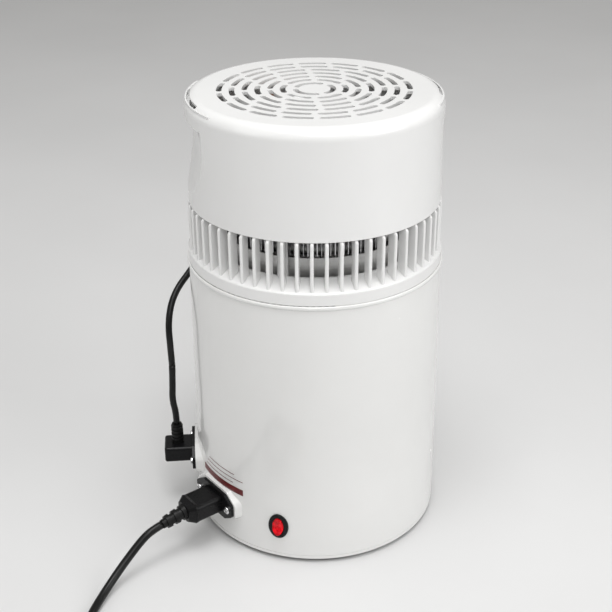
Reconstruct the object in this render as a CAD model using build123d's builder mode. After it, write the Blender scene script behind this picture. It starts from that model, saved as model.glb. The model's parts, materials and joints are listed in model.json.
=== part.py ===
"""Countertop water distiller: boiler base, lift-off condenser head with fan, spout with filter, leads.

Millimetres, +Z up. The origin is on the body's axis, on the surface that the feet stand on.
The spout faces -Y. Angles are measured about Z from +X, anticlockwise seen from above.
"""

import math
import os

from build123d import *

os.makedirs("parts", exist_ok=True)

# Base casing
base_foot_radius = 101.5
base_top_radius = 99.0
casing_lift = 3.5
base_top = 229.0
casing_wall = 2.5
casing_round = 1.8
rim_round = 1.0
foot_line_height = 7.0
foot_line_depth = 0.3
foot_line_width = 0.5
pot_lip_radius = 88.0
pot_lip_thickness = 2.6

# Base plate and feet
plate_lift = 2.0
plate_thickness = 2.5
plate_slot_count = 12
plate_slot_length = 22.0
plate_slot_width = 4.0
plate_slot_radius = 44.0
foot_radius = 9.0
foot_circle = 80.0
foot_count = 4
foot_angle = 55.0
stem_radius = 3.0
plate_boss_circle = 95.0
plate_boss_radius = 5.0
plate_boss_height = 14.0
plate_boss_angle = 100.0
plate_boss_count = 3

# Boiler pot and heater
pot_inner_radius = 85.0
pot_thickness = 1.0
pot_floor = 62.0
pot_corner = 4.0
pot_flange_radius = 95.0
heater_disc_radius = 62.0
heater_disc_thickness = 6.0
element_circle = 46.0
element_radius = 4.0
element_gap_angle = 36.0
element_angle = 110.0
element_tail = 12.0
terminal_radius = 2.2
terminal_length = 9.0
terminal_collar_radius = 3.2
stat_radius = 9.0
stat_height = 10.0
stat_tab_length = 7.0
cutout_radius = 6.0
cutout_height = 8.0
cutout_circle = 26.0
shield_radius = 76.0
shield_thickness = 0.8
shield_height = 28.0
shield_lip = 8.0
standoff_circle = 60.0
standoff_radius = 5.0
standoff_count = 3

# Sockets on the side of the base
pad_radius = 103.2
pad_margin = 2.0
pad_depth = 8.0
pad_flare = 1.6
inlet_angle = 28.0
inlet_height = 37.0
outlet_angle = -4.5
outlet_height = 49.5
flange_width = 50.0
flange_height = 23.0
flange_thickness = 2.6
flange_ear = 10.0
flange_waist = 30.0
flange_corner = 3.0
socket_screw_spacing = 40.0
inlet_body_width = 27.0
inlet_body_height = 19.5
inlet_body_depth = 14.5
inlet_recess_width = 24.6
inlet_recess_height = 16.4
inlet_recess_depth = 14.0
recess_corner = 4.0
pin_pitch = 7.0
pin_drop = 2.0
inlet_pin_width = 2.0
inlet_pin_height = 4.0
inlet_pin_length = 10.0
inlet_tab_length = 6.0
outlet_body_width = 24.0
outlet_body_height = 16.0
contact_radius = 1.9
contact_length = 11.0

# Switch
switch_angle = 63.0
switch_height = 33.6
bezel_width = 16.4
bezel_height = 22.4
bezel_thickness = 2.2
bezel_border = 3.7
bezel_flat = 0.5
switch_body_depth = 16.0
switch_body_wall = 1.6
rocker_side_gap = 0.35
rocker_end_gap = 1.1
rocker_pivot_depth = 2.0
rocker_front = 4.4
rocker_valley = 0.7
rocker_tilt = 6.0
rocker_floor = 3.2
rocker_swing_room = 2.2
rocker_pin_radius = 1.0
rocker_pin_bite = 0.9
rocker_pin_gap = 0.15
switch_tab_length = 6.0

# Head: louvre ring and lid
seam_gap = 0.35
band_radius = 99.0
band_height = 10.25
ledge_rise = 6.8
ledge_crest_radius = 86.0
ledge_inner_radius = 84.0
ledge_round = 1.6
louvre_height = 32.0
louvre_count = 57
louvre_phase = 78.7
louvre_thickness = 2.7
louvre_outer_radius = 97.6
louvre_inner_radius = 90.0
louvre_round = 1.2
louvre_corner = 3.0
top_ring_thickness = 3.0
top_ring_inner = 82.0
lid_radius = 96.5
lid_height = 81.6
lid_wall = 2.5
lid_round = 9.0
lid_seat_gap = 0.2
post_circle = 83.5
post_radius = 4.0
post_angle = 64.0
post_count = 3
lid_boss_circle = 86.6
lid_boss_radius = 4.2
lid_boss_height = 18.0
lid_boss_angle = 34.0

# Vents in the lid's top
vent_rings = 7
vent_first_radius = 14.0
vent_pitch = 9.4
vent_width = 4.2
vent_spacing = 26.0
vent_rib = 4.0

# Grips in the lid's sides
grip_flat = 88.2
grip_scoop_top = 326.0
grip_scoop_bottom = 288.0
grip_top = 344.0
grip_bar = 4.5
grip_pocket_flat = 80.0
grip_pocket_half = 37.0
grip_slit_radius = 92.9
grip_slit_width = 2.6
grip_slit_angle = 30.0
grip_wall = 2.5

# Steam dome and condenser
gasket_thickness = 2.5
gasket_inner_radius = 87.6
gasket_seat_gap = 0.2
dome_flange_radius = 92.0
dome_radius = 77.0
dome_rise = 13.5
dome_thickness = 1.0
dome_round = 4.0
dome_rim_top = 258.0
dome_rim_gap = 64.0
dome_rim_gap_angle = -105.0
tube_radius = 4.75
tube_wall = 0.8
coil_radius = 64.0
coil_pitch = 10.2
coil_turns = 2
coil_start_angle = -60.0
coil_end_angle = -140.0
coil_bottom = 256.0
riser_circle = 44.0
riser_angle = -105.0
riser_straight = 10.0
riser_dip = 2.0
outlet_tube_drop = 3.0
nut_width = 17.0
nut_height = 7.0
fin_count = 108
fin_end_angle = 6.0
fin_thickness = 0.5
fin_inner_radius = 53.0
fin_outer_radius = 75.0
fin_margin = 1.5
fin_clearance = 0.3
clip_angles = (30.0, 130.0)
clip_width = 7.0
clip_thickness = 1.5
clip_foot = 14.0
clip_clear_angle = 4.5

# Fan and motor
motor_angle = -42.0
motor_gap_below_lid = 11.5
motor_width = 46.0
motor_back = 22.0
motor_reach = 40.0
stator_height = 14.0
stator_bore = 13.4
rotor_gap = 0.5
window_half = 14.0
window_near = 18.0
window_far = 30.0
winding_overhang = 7.0
winding_gap = 0.5
bracket_width = 20.0
bracket_thickness = 2.0
bracket_standoff = 4.0
bracket_foot = 7.0
bearing_radius = 5.5
shaft_radius = 2.0
running_gap = 0.05
motor_screw_spacing = 38.0
motor_post_radius = 4.5
motor_screw_bite = 8.0
fan_radius = 70.0
fan_hub_radius = 13.0
fan_hub_height = 14.0
fan_drop = 22.0
blade_count = 5
blade_thickness = 1.8
blade_pitch = 26.0
blade_root = 9.0
blade_tip = 20.0
fan_nut_radius = 5.0
fan_nut_height = 5.0

# Spout and filter
spout_angle = -90.0
spout_half_angle = 16.0
panel_thickness = 2.5
spout_reach = 118.0
spout_wall = 4.0
spout_bottom = 231.0
spout_top = 286.0
spout_bore = 17.0
spout_floor = 3.0
nozzle_radius = 8.0
nozzle_bore = 5.5
nozzle_length = 13.0
spout_screw_spacing = 34.0
spout_screw_rise = 14.0
spout_screw_bite = 8.0
spout_seal_wall = 1.5
filter_clearance = 0.5
filter_wall = 1.6
filter_hole_radius = 1.5
filter_hole_count = 6
filter_hole_circle = 3.85
pod_height = 12.0
pod_clearance = 0.6
cap_radius = 20.0
cap_thickness = 3.0
cap_plug_depth = 4.0
cap_tab_height = 9.0
cap_tab_thickness = 4.0
cap_tab_length = 22.0

# Leads
mains_cord_radius = 3.25
fan_lead_radius = 2.75
connector_nose_out = 23.0
connector_grip_width = 23.0
connector_grip_height = 18.0
connector_grip_length = 5.5
connector_fit = 0.3
connector_rear_width = 15.8
connector_rear_height = 14.5
relief_rear_radius = 6.6
relief_end_radius = 5.0
relief_length = 21.5
relief_ribs = 3
relief_groove = 1.3
relief_droop = 8.0
fan_plug_length = 23.0
fan_plug_width = 22.5
fan_plug_height = 14.2
fan_plug_corner = 2.6
fan_plug_round = 2.0
fan_relief_out = 11.7
fan_relief_base = 5.2
fan_relief_tip = 4.9
fan_relief_length = 18.0
fan_relief_ribs = 5
fan_relief_groove = 0.7
fan_pin_radius = 1.6
fan_pin_length = 8.0
gland_angle = -42.0
gland_height = 235.3
gland_radius = 4.0
gland_flange = 5.6
gland_flange_thickness = 2.0
gland_reach = 7.5
gland_drop = 7.0
lead_straight = 11.0
motor_lead_radius = 1.5
motor_lead_circle = 79.5
motor_lead_bend = 7.0
coil_centre_x = 160.0
coil_centre_y = 199.0
cord_coil_outer = 44.0
cord_coil_pitch = 7.1
cord_layer_rise = 7.1
cord_coil_turns = 4.25
cord_climb_turn = 0.5
cord_coil_lift = 1.4
cord_lead_in = 10.0
cord_straight = 9.0
cord_last_run = 14.0
cord_lead_out = 15.0
tie_angle = 225.0
tie_width = 6.0
tie_thickness = 0.9
tie_gap = 0.4
wall_plug_width = 25.0
wall_plug_length = 26.0
blade_pin_width = 6.4
blade_pin_thickness = 1.5
blade_pin_length = 17.0
blade_pin_spacing = 12.7
earth_pin_radius = 2.4
earth_pin_offset = 8.0

# Screws and clearances
screw_radius = 1.6
screw_head_radius = 3.2
screw_head_height = 2.0
screw_slot = 0.9
screw_length = 10.0
hole_clearance = 0.15
fit_gap = 0.1
body_gap = 0.4

# Heights that follow from the sizes above
plate_bottom = casing_lift + plate_lift
plate_top = plate_bottom + plate_thickness
pot_rim_top = base_top + pot_thickness
heater_bottom = pot_floor - heater_disc_thickness
head_bottom = base_top + seam_gap
band_top = head_bottom + band_height
ledge_top = band_top + ledge_rise
lid_bottom = ledge_top + louvre_height
lid_top = lid_bottom + lid_height
gasket_bottom = pot_rim_top + gasket_seat_gap
dome_flange_bottom = gasket_bottom + gasket_thickness
dome_flange_top = dome_flange_bottom + dome_thickness
dome_top = dome_flange_top + dome_rise
coil_sweep = 360.0 * coil_turns + (coil_end_angle - coil_start_angle) % 360.0
coil_top = coil_bottom + coil_pitch * coil_sweep / 360.0
motor_top = lid_top - lid_wall - motor_gap_below_lid
stator_top = motor_top - bracket_thickness - bracket_standoff
stator_bottom = stator_top - stator_height
motor_bottom = stator_bottom - bracket_standoff - bracket_thickness
fan_centre = motor_bottom - fan_drop + fan_hub_height / 2
cord_coil_floor = mains_cord_radius + cord_coil_lift


def base_radius(height):
    """Outer radius of the tapered base casing at a height."""
    share = (height - casing_lift) / (base_top - casing_lift)
    return base_foot_radius + (base_top_radius - base_foot_radius) * share


def at_angle(radius, angle, height):
    """Point at a radius, angle and height about the body's axis."""
    turn = math.radians(angle)
    return Vector(radius * math.cos(turn), radius * math.sin(turn), height)


def side_plane(radius, angle, height):
    """Plane that faces outward from the body's side: x along the side, y up."""
    turn = math.radians(angle)
    outward = (math.cos(turn), math.sin(turn), 0)
    along = (-math.sin(turn), math.cos(turn), 0)
    return Plane(origin=at_angle(radius, angle, height), x_dir=along, z_dir=outward)


def tipped_down(plane, angle):
    """The same side plane with its outward direction tipped down about its own x."""
    return Plane(plane.location * Rotation(angle, 0, 0))


def level_plane(angle, height):
    """Level plane on the axis, with its y towards an angle."""
    turn = math.radians(angle - 90)
    return Plane(origin=(0, 0, height), x_dir=(math.cos(turn), math.sin(turn), 0), z_dir=(0, 0, 1))


def meridian_plane(angle):
    """Upright plane through the axis: x is the radius, y is the height."""
    turn = math.radians(angle)
    return Plane(
        origin=(0, 0, 0),
        x_dir=(math.cos(turn), math.sin(turn), 0),
        z_dir=(math.sin(turn), -math.cos(turn), 0),
    )


def eared_flange(margin=0.0):
    """Socket flange, wide in the middle and narrow at each screw, or its pad with a margin all round."""
    end = flange_width / 2
    with BuildSketch() as flange:
        with BuildLine():
            FilletPolyline(
                (-end, -flange_ear / 2),
                (-flange_waist / 2, -flange_height / 2),
                (flange_waist / 2, -flange_height / 2),
                (end, -flange_ear / 2),
                (end, flange_ear / 2),
                (flange_waist / 2, flange_height / 2),
                (-flange_waist / 2, flange_height / 2),
                (-end, flange_ear / 2),
                radius=flange_corner,
                close=True,
            )
        make_face()
        if margin:
            offset(amount=margin)
    return flange.sketch


def pan_screw(length):
    """Pan-head screw with its seat at z = 0, the head above and the shank below."""
    with BuildPart() as screw:
        Cylinder(screw_head_radius, screw_head_height, align=(Align.CENTER, Align.CENTER, Align.MIN))
        fillet(screw.edges().group_by(Axis.Z)[-1], screw_head_height * 0.5)
        Cylinder(screw_radius, length, align=(Align.CENTER, Align.CENTER, Align.MAX))
        with BuildSketch(Plane.XY.offset(screw_head_height)):
            Rectangle(screw_head_radius * 1.3, screw_slot)
            Rectangle(screw_slot, screw_head_radius * 1.3)
        extrude(amount=-screw_slot, mode=Mode.SUBTRACT)
    return screw.part


def rounded_radii(points):
    """Largest arc that each corner of a cord's route leaves room for."""
    radii = []
    for before, corner, after in zip(points, points[1:], points[2:]):
        arriving = Vector(corner) - Vector(before)
        leaving = Vector(after) - Vector(corner)
        half_turn = math.radians(arriving.get_angle(leaving)) / 2
        radii.append(0.45 * min(arriving.length, leaving.length) / math.tan(half_turn))
    return radii


def cord_tube(points, radius, name):
    """Round cord along a route of straight runs and tangent arcs."""
    radii = rounded_radii(points)
    with BuildPart() as cord:
        with BuildLine() as route:
            FilletPolyline(*points, radius=radii)
        path = route.wire()
        with BuildSketch(Plane(origin=path @ 0, z_dir=path % 0)):
            Circle(radius)
        sweep(path=path)
    section = math.pi * radius**2
    share = cord.part.volume / (section * path.length)
    print(f"{name}: length {path.length:.1f}, radii {[round(r, 1) for r in radii]}, volume share {share:.4f}")
    return cord.part


def biarc(start, start_tangent, end, end_tangent):
    """Two tangent arcs from one point and direction to another, drawn in the open line."""
    chord = end - start
    tangents = start_tangent + end_tangent
    spread = 2 * (1 - start_tangent.dot(end_tangent))
    reach = chord.dot(tangents)
    step = (math.sqrt(reach**2 + spread * chord.dot(chord)) - reach) / spread
    first = start + start_tangent * step
    second = end - end_tangent * step
    middle = (first + second) * 0.5
    TangentArc(start, middle, tangent=start_tangent)
    TangentArc(middle, end, tangent=second - first)


def least_gap(path, tube, steps):
    """Smallest clear space between stretches of one tube that aren't neighbours along it."""
    spacing = path.length / steps
    points = [path @ (i / steps) for i in range(steps + 1)]
    apart = math.ceil(math.pi * 3 * tube / spacing)
    least = path.length
    for i, point in enumerate(points):
        for other in points[i + apart :]:
            least = min(least, (point - other).length)
    return least - 2 * tube


inlet_plane = side_plane(pad_radius, inlet_angle, inlet_height)
outlet_plane = side_plane(pad_radius, outlet_angle, outlet_height)
switch_radius = base_radius(switch_height) - bezel_flat
switch_plane = side_plane(switch_radius, switch_angle, switch_height)
rocker_width = bezel_width - 2 * bezel_border
rocker_height = bezel_height - 2 * bezel_border
rocker_window = rocker_height + 2 * rocker_end_gap
switch_body_width = rocker_width + 2 * rocker_side_gap + 2 * switch_body_wall
switch_body_height = rocker_window + 2 * switch_body_wall


# Base casing
with BuildPart() as base_casing:
    with BuildSketch(Plane.XZ):
        with BuildLine():
            Polyline(
                (base_foot_radius - casing_wall, casing_lift),
                (base_foot_radius, casing_lift),
                (base_top_radius, base_top),
                (pot_lip_radius, base_top),
                (pot_lip_radius, base_top - pot_lip_thickness),
                (base_top_radius - casing_wall, base_top - pot_lip_thickness),
                close=True,
            )
        make_face()
    revolve(axis=Axis.Z)
    top_edges = base_casing.edges().filter_by(GeomType.CIRCLE).group_by(Axis.Z)[-1]
    fillet(top_edges.sort_by(SortBy.RADIUS)[-1], casing_round)
    foot_edges = base_casing.edges().filter_by(GeomType.CIRCLE).group_by(Axis.Z)[0]
    fillet(foot_edges.sort_by(SortBy.RADIUS)[-1], rim_round)
    with BuildSketch(Plane.XZ):
        with Locations((base_radius(foot_line_height), foot_line_height)):
            Rectangle(2 * foot_line_depth, foot_line_width)
    revolve(axis=Axis.Z, mode=Mode.SUBTRACT)
    for socket_plane in (inlet_plane, outlet_plane):
        with BuildSketch(socket_plane):
            add(eared_flange(pad_margin))
        with BuildSketch(socket_plane.offset(-pad_depth)):
            add(eared_flange(pad_margin + pad_flare))
        loft()
    with BuildSketch(Plane.XY.offset(plate_top)):
        with PolarLocations(plate_boss_circle, plate_boss_count, start_angle=plate_boss_angle):
            Circle(plate_boss_radius)
    extrude(amount=plate_boss_height)
    with BuildSketch(Plane.XY.offset(plate_top)):
        with PolarLocations(plate_boss_circle, plate_boss_count, start_angle=plate_boss_angle):
            Circle(screw_radius + fit_gap)
    extrude(amount=plate_boss_height - casing_wall, mode=Mode.SUBTRACT)
    with BuildSketch(inlet_plane):
        Rectangle(inlet_body_width + 2 * fit_gap, inlet_body_height + 2 * fit_gap)
        with GridLocations(socket_screw_spacing, 0, 2, 1):
            Circle(screw_radius + fit_gap)
    extrude(amount=-2 * pad_depth, mode=Mode.SUBTRACT)
    with BuildSketch(outlet_plane):
        Rectangle(outlet_body_width + 2 * fit_gap, outlet_body_height + 2 * fit_gap)
        with GridLocations(socket_screw_spacing, 0, 2, 1):
            Circle(screw_radius + fit_gap)
    extrude(amount=-2 * pad_depth, mode=Mode.SUBTRACT)
    with BuildSketch(switch_plane):
        Ellipse(bezel_width / 2 + fit_gap, bezel_height / 2 + fit_gap)
    extrude(amount=2 * bezel_thickness, mode=Mode.SUBTRACT)
    with BuildSketch(switch_plane):
        Ellipse(switch_body_width / 2 + fit_gap, switch_body_height / 2 + fit_gap)
    extrude(amount=-3 * casing_wall, mode=Mode.SUBTRACT)
base_casing.part.label = "base_casing"
export_step(base_casing.part, "parts/base_casing.step")

# Base plate with standoffs for the heat shield
plate_radius = base_radius(plate_top) - casing_wall - body_gap
with BuildPart() as base_plate:
    with BuildSketch(Plane.XY.offset(plate_bottom)):
        Circle(plate_radius)
        with PolarLocations(plate_slot_radius, plate_slot_count):
            SlotOverall(plate_slot_length, plate_slot_width, mode=Mode.SUBTRACT)
        with PolarLocations(foot_circle, foot_count, start_angle=foot_angle):
            Circle(stem_radius + fit_gap, mode=Mode.SUBTRACT)
        with PolarLocations(plate_boss_circle, plate_boss_count, start_angle=plate_boss_angle):
            Circle(screw_radius + hole_clearance, mode=Mode.SUBTRACT)
    extrude(amount=plate_thickness)
    with BuildSketch(Plane.XY.offset(plate_top)):
        with PolarLocations(standoff_circle, standoff_count, start_angle=plate_boss_angle):
            Circle(standoff_radius)
    extrude(amount=shield_height - plate_top)
base_plate.part.label = "base_plate"
export_step(base_plate.part, "parts/base_plate.step")

# Rubber feet
with BuildPart() as rubber_feet:
    with BuildSketch():
        with PolarLocations(foot_circle, foot_count, start_angle=foot_angle):
            Circle(foot_radius)
    extrude(amount=plate_bottom)
    fillet(rubber_feet.edges().group_by(Axis.Z)[0], rim_round)
    with BuildSketch(Plane.XY.offset(plate_bottom)):
        with PolarLocations(foot_circle, foot_count, start_angle=foot_angle):
            Circle(stem_radius)
    extrude(amount=plate_thickness)
rubber_feet.part.label = "rubber_feet"
export_step(rubber_feet.part, "parts/rubber_feet.step")

# Screws that hold the base plate, heads down
plate_screw_planes = [
    Plane(origin=at_angle(plate_boss_circle, plate_boss_angle + i * 360 / plate_boss_count, plate_bottom),
          x_dir=(1, 0, 0), z_dir=(0, 0, -1))
    for i in range(plate_boss_count)
]
with BuildPart() as base_screws:
    with Locations(*plate_screw_planes):
        add(pan_screw(plate_thickness + screw_length))
base_screws.part.label = "base_screws"
export_step(base_screws.part, "parts/base_screws.step")

# Heat shield between the heater and the base plate
with BuildPart() as heat_shield:
    with BuildSketch(Plane.XY.offset(shield_height)):
        Circle(shield_radius)
    extrude(amount=shield_lip)
    with BuildSketch(Plane.XY.offset(shield_height + shield_thickness)):
        Circle(shield_radius - shield_thickness)
    extrude(amount=shield_lip, mode=Mode.SUBTRACT)
heat_shield.part.label = "heat_shield"
export_step(heat_shield.part, "parts/heat_shield.step")

# Stainless boiler pot that hangs by its rim
pot_outer_radius = pot_inner_radius + pot_thickness
with BuildPart() as boiler_pot:
    with BuildSketch(Plane.XY.offset(pot_floor)):
        Circle(pot_outer_radius)
    extrude(amount=base_top - pot_floor)
    fillet(boiler_pot.edges().group_by(Axis.Z)[0], pot_corner + pot_thickness)
    with BuildSketch(Plane.XY.offset(base_top)):
        Circle(pot_flange_radius)
    extrude(amount=pot_thickness)
    with BuildSketch(Plane.XZ):
        with BuildLine():
            Polyline(
                (0, pot_rim_top),
                (0, pot_floor + pot_thickness),
                (pot_inner_radius - pot_corner, pot_floor + pot_thickness),
            )
            RadiusArc(
                (pot_inner_radius - pot_corner, pot_floor + pot_thickness),
                (pot_inner_radius, pot_floor + pot_thickness + pot_corner),
                -pot_corner,
            )
            Polyline(
                (pot_inner_radius, pot_floor + pot_thickness + pot_corner),
                (pot_inner_radius, pot_rim_top),
                (0, pot_rim_top),
            )
        make_face()
    revolve(axis=Axis.Z, mode=Mode.SUBTRACT)
boiler_pot.part.label = "boiler_pot"
export_step(boiler_pot.part, "parts/boiler_pot.step")

# Heat spreader disc under the pot
with BuildPart() as heater_disc:
    with BuildSketch(Plane.XY.offset(heater_bottom)):
        Circle(heater_disc_radius)
    extrude(amount=heater_disc_thickness)
    chamfer(heater_disc.edges().group_by(Axis.Z)[0], rim_round)
heater_disc.part.label = "heater_disc"
export_step(heater_disc.part, "parts/heater_disc.step")

# Sheathed heating element: one open ring with its tails turned down
element_height = heater_bottom - element_radius - fit_gap
element_first = element_angle + element_gap_angle / 2
element_last = element_angle - element_gap_angle / 2 + 360
tail_ends = [at_angle(element_circle, a, element_height) for a in (element_first, element_last)]
with BuildPart() as heating_element:
    with BuildLine() as element_line:
        CenterArc((0, 0, element_height), element_circle, element_first, element_last - element_first)
    element_path = element_line.wire()
    with BuildSketch(Plane(origin=element_path @ 0, z_dir=element_path % 0)):
        Circle(element_radius)
    sweep(path=element_path)
    with Locations(*tail_ends):
        Sphere(element_radius)
        Cylinder(element_radius, element_tail, align=(Align.CENTER, Align.CENTER, Align.MAX))
heating_element.part.label = "heating_element"
export_step(heating_element.part, "parts/heating_element.step")

# Terminal studs on the element's tails
with BuildPart() as element_terminals:
    with Locations(*[end - Vector(0, 0, element_tail) for end in tail_ends]):
        Cylinder(terminal_radius, terminal_length, align=(Align.CENTER, Align.CENTER, Align.MAX))
        Cylinder(terminal_collar_radius, terminal_radius, align=(Align.CENTER, Align.CENTER, Align.MAX))
element_terminals.part.label = "element_terminals"
export_step(element_terminals.part, "parts/element_terminals.step")

# Boil-dry thermostat in the middle of the heater disc
with BuildPart() as thermostat:
    with BuildSketch(Plane.XY.offset(heater_bottom)):
        Circle(stat_radius)
        SlotOverall(2 * stat_radius + 4 * screw_head_radius, 2 * screw_head_radius)
    extrude(amount=-shield_thickness)
    with BuildSketch(Plane.XY.offset(heater_bottom)):
        Circle(stat_radius - shield_thickness)
    extrude(amount=-stat_height)
    with BuildSketch(Plane.XY.offset(heater_bottom - stat_height)):
        with GridLocations(stat_radius, 0, 2, 1):
            Rectangle(shield_thickness, inlet_pin_height)
    extrude(amount=-stat_tab_length)
thermostat.part.label = "thermostat"
export_step(thermostat.part, "parts/thermostat.step")

# Thermal fuse can beside the thermostat
with BuildPart() as thermal_cutout:
    with BuildSketch(Plane.XY.offset(heater_bottom)):
        with Locations(at_angle(cutout_circle, element_angle + 180, 0)):
            Circle(cutout_radius)
    extrude(amount=-cutout_height)
    chamfer(thermal_cutout.edges().group_by(Axis.Z)[0], rim_round)
thermal_cutout.part.label = "thermal_cutout"
export_step(thermal_cutout.part, "parts/thermal_cutout.step")


# Mains inlet
with BuildPart() as mains_inlet:
    with BuildSketch(inlet_plane):
        add(eared_flange())
        with GridLocations(socket_screw_spacing, 0, 2, 1):
            Circle(screw_radius + hole_clearance, mode=Mode.SUBTRACT)
    extrude(amount=flange_thickness)
    with BuildSketch(inlet_plane):
        Rectangle(inlet_body_width, inlet_body_height)
    extrude(amount=-inlet_body_depth)
    with BuildSketch(inlet_plane.offset(flange_thickness)):
        RectangleRounded(inlet_recess_width, inlet_recess_height, recess_corner)
    extrude(amount=-inlet_recess_depth, mode=Mode.SUBTRACT)
    pin_slots = [(-pin_pitch, -pin_drop), (0, pin_drop), (pin_pitch, -pin_drop)]
    with BuildSketch(inlet_plane):
        with Locations(*pin_slots):
            Rectangle(inlet_pin_width + 2 * fit_gap, inlet_pin_height + 2 * fit_gap)
    extrude(amount=-2 * inlet_body_depth, mode=Mode.SUBTRACT)
mains_inlet.part.label = "mains_inlet"
export_step(mains_inlet.part, "parts/mains_inlet.step")

# Pins of the mains inlet, with tabs for the wires behind
recess_floor = flange_thickness - inlet_recess_depth
with BuildPart() as inlet_pins:
    with BuildSketch(inlet_plane.offset(recess_floor + inlet_pin_length)):
        with Locations(*pin_slots):
            Rectangle(inlet_pin_width, inlet_pin_height)
    extrude(amount=-inlet_pin_length - recess_floor - inlet_body_depth - inlet_tab_length)
inlet_pins.part.label = "inlet_pins"
export_step(inlet_pins.part, "parts/inlet_pins.step")

# Outlet that feeds the head's fan
with BuildPart() as fan_outlet:
    with BuildSketch(outlet_plane):
        add(eared_flange())
        with GridLocations(socket_screw_spacing, 0, 2, 1):
            Circle(screw_radius + hole_clearance, mode=Mode.SUBTRACT)
    extrude(amount=flange_thickness)
    with BuildSketch(outlet_plane):
        Rectangle(outlet_body_width, outlet_body_height)
    extrude(amount=-inlet_body_depth)
    contact_places = [(-pin_pitch, 0), (0, 0), (pin_pitch, 0)]
    with BuildSketch(outlet_plane.offset(flange_thickness)):
        with Locations(*contact_places):
            Circle(contact_radius + fit_gap)
    extrude(amount=-2 * inlet_body_depth, mode=Mode.SUBTRACT)
fan_outlet.part.label = "fan_outlet"
export_step(fan_outlet.part, "parts/fan_outlet.step")

# Spring sleeves inside the outlet, with tabs behind
with BuildPart() as outlet_contacts:
    with BuildSketch(outlet_plane.offset(-inlet_body_depth + contact_length)):
        with Locations(*contact_places):
            Circle(contact_radius)
            Circle(fan_pin_radius + fit_gap, mode=Mode.SUBTRACT)
    extrude(amount=-contact_length)
    with BuildSketch(outlet_plane.offset(-inlet_body_depth)):
        with Locations(*contact_places):
            Circle(contact_radius)
    extrude(amount=-shield_thickness)
    with BuildSketch(outlet_plane.offset(-inlet_body_depth - shield_thickness)):
        with Locations(*contact_places):
            Rectangle(shield_thickness, contact_radius * 2)
    extrude(amount=-contact_radius)
outlet_contacts.part.label = "outlet_contacts"
export_step(outlet_contacts.part, "parts/outlet_contacts.step")

# Screws through the ears of both sockets
screw_ends = (-socket_screw_spacing / 2, socket_screw_spacing / 2)
socket_screw_planes = [
    Plane(origin=plane.from_local_coords((x, 0, flange_thickness)), x_dir=plane.x_dir, z_dir=plane.z_dir)
    for plane in (inlet_plane, outlet_plane)
    for x in screw_ends
]
with BuildPart() as socket_screws:
    with Locations(*socket_screw_planes):
        add(pan_screw(screw_length))
socket_screws.part.label = "socket_screws"
export_step(socket_screws.part, "parts/socket_screws.step")

# Switch housing: oval bezel outside, oval body inside, a round seat for each end of the rocker's pin
rocker_pivot = side_plane(switch_radius - rocker_pivot_depth, switch_angle, switch_height)
pin_section = Plane(origin=rocker_pivot.origin, x_dir=rocker_pivot.y_dir, z_dir=rocker_pivot.x_dir)
pin_reach = rocker_width / 2 + rocker_side_gap + rocker_pin_bite
with BuildPart() as switch_housing:
    with BuildSketch(switch_plane):
        Ellipse(bezel_width / 2, bezel_height / 2)
    extrude(amount=bezel_thickness)
    fillet(switch_housing.edges().sort_by(Axis(switch_plane.origin, switch_plane.z_dir))[-1], rim_round)
    with BuildSketch(switch_plane):
        Ellipse(switch_body_width / 2, switch_body_height / 2)
    extrude(amount=-switch_body_depth)
    pocket_floor = rocker_pivot_depth + rocker_floor + rocker_swing_room
    with BuildSketch(switch_plane.offset(bezel_thickness)):
        Ellipse(rocker_width / 2 + rocker_side_gap, rocker_window / 2)
    extrude(amount=-bezel_thickness - pocket_floor, mode=Mode.SUBTRACT)
    with BuildSketch(pin_section):
        Circle(rocker_pin_radius + rocker_pin_gap)
    extrude(amount=pin_reach + rocker_pin_gap, both=True, mode=Mode.SUBTRACT)
    with BuildSketch(switch_plane.offset(-switch_body_depth)):
        with GridLocations(0, rocker_height / 3, 1, 3):
            Rectangle(inlet_pin_height, shield_thickness)
    extrude(amount=-switch_tab_length)
switch_housing.part.label = "switch_housing"
export_step(switch_housing.part, "parts/switch_housing.step")

# Red rocker lens on its pin, tilted with its upper half pressed
rocker_plane = tipped_down(rocker_pivot, -rocker_tilt)
rocker_section = Plane(origin=rocker_plane.origin, x_dir=rocker_plane.y_dir, z_dir=rocker_plane.x_dir)
with BuildPart() as switch_rocker:
    with BuildSketch(rocker_plane.offset(-rocker_floor)):
        Ellipse(rocker_width / 2, rocker_height / 2)
    extrude(amount=rocker_floor + bezel_thickness + rocker_front)
    with BuildSketch(rocker_section):
        with BuildLine():
            front = bezel_thickness + rocker_front - rocker_valley
            Polyline(
                (-rocker_height, -2 * rocker_floor),
                (rocker_height, -2 * rocker_floor),
                (rocker_height, front + 2 * rocker_valley),
                (0, front - rocker_valley),
                (-rocker_height, front + 2 * rocker_valley),
                close=True,
            )
        make_face()
    extrude(amount=rocker_width, both=True, mode=Mode.INTERSECT)
    rocker_axis = Axis(rocker_plane.origin, rocker_plane.z_dir)
    fillet(switch_rocker.faces().sort_by(rocker_axis)[-2:].edges(), rim_round * 0.6)
    with BuildSketch(pin_section):
        Circle(rocker_pin_radius)
    extrude(amount=pin_reach, both=True)
switch_rocker.part.label = "switch_rocker"
export_step(switch_rocker.part, "parts/switch_rocker.step")

# One louvre, on the +X side
louvre_ring_radius = lid_radius - lid_wall - fit_gap
ledge_slope = ledge_rise / (band_radius - ledge_crest_radius)
louvre_root = casing_wall / 3


def ledge_height(radius):
    """Height of the sloping ledge under the louvres."""
    return band_top + ledge_slope * (band_radius - radius)


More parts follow.
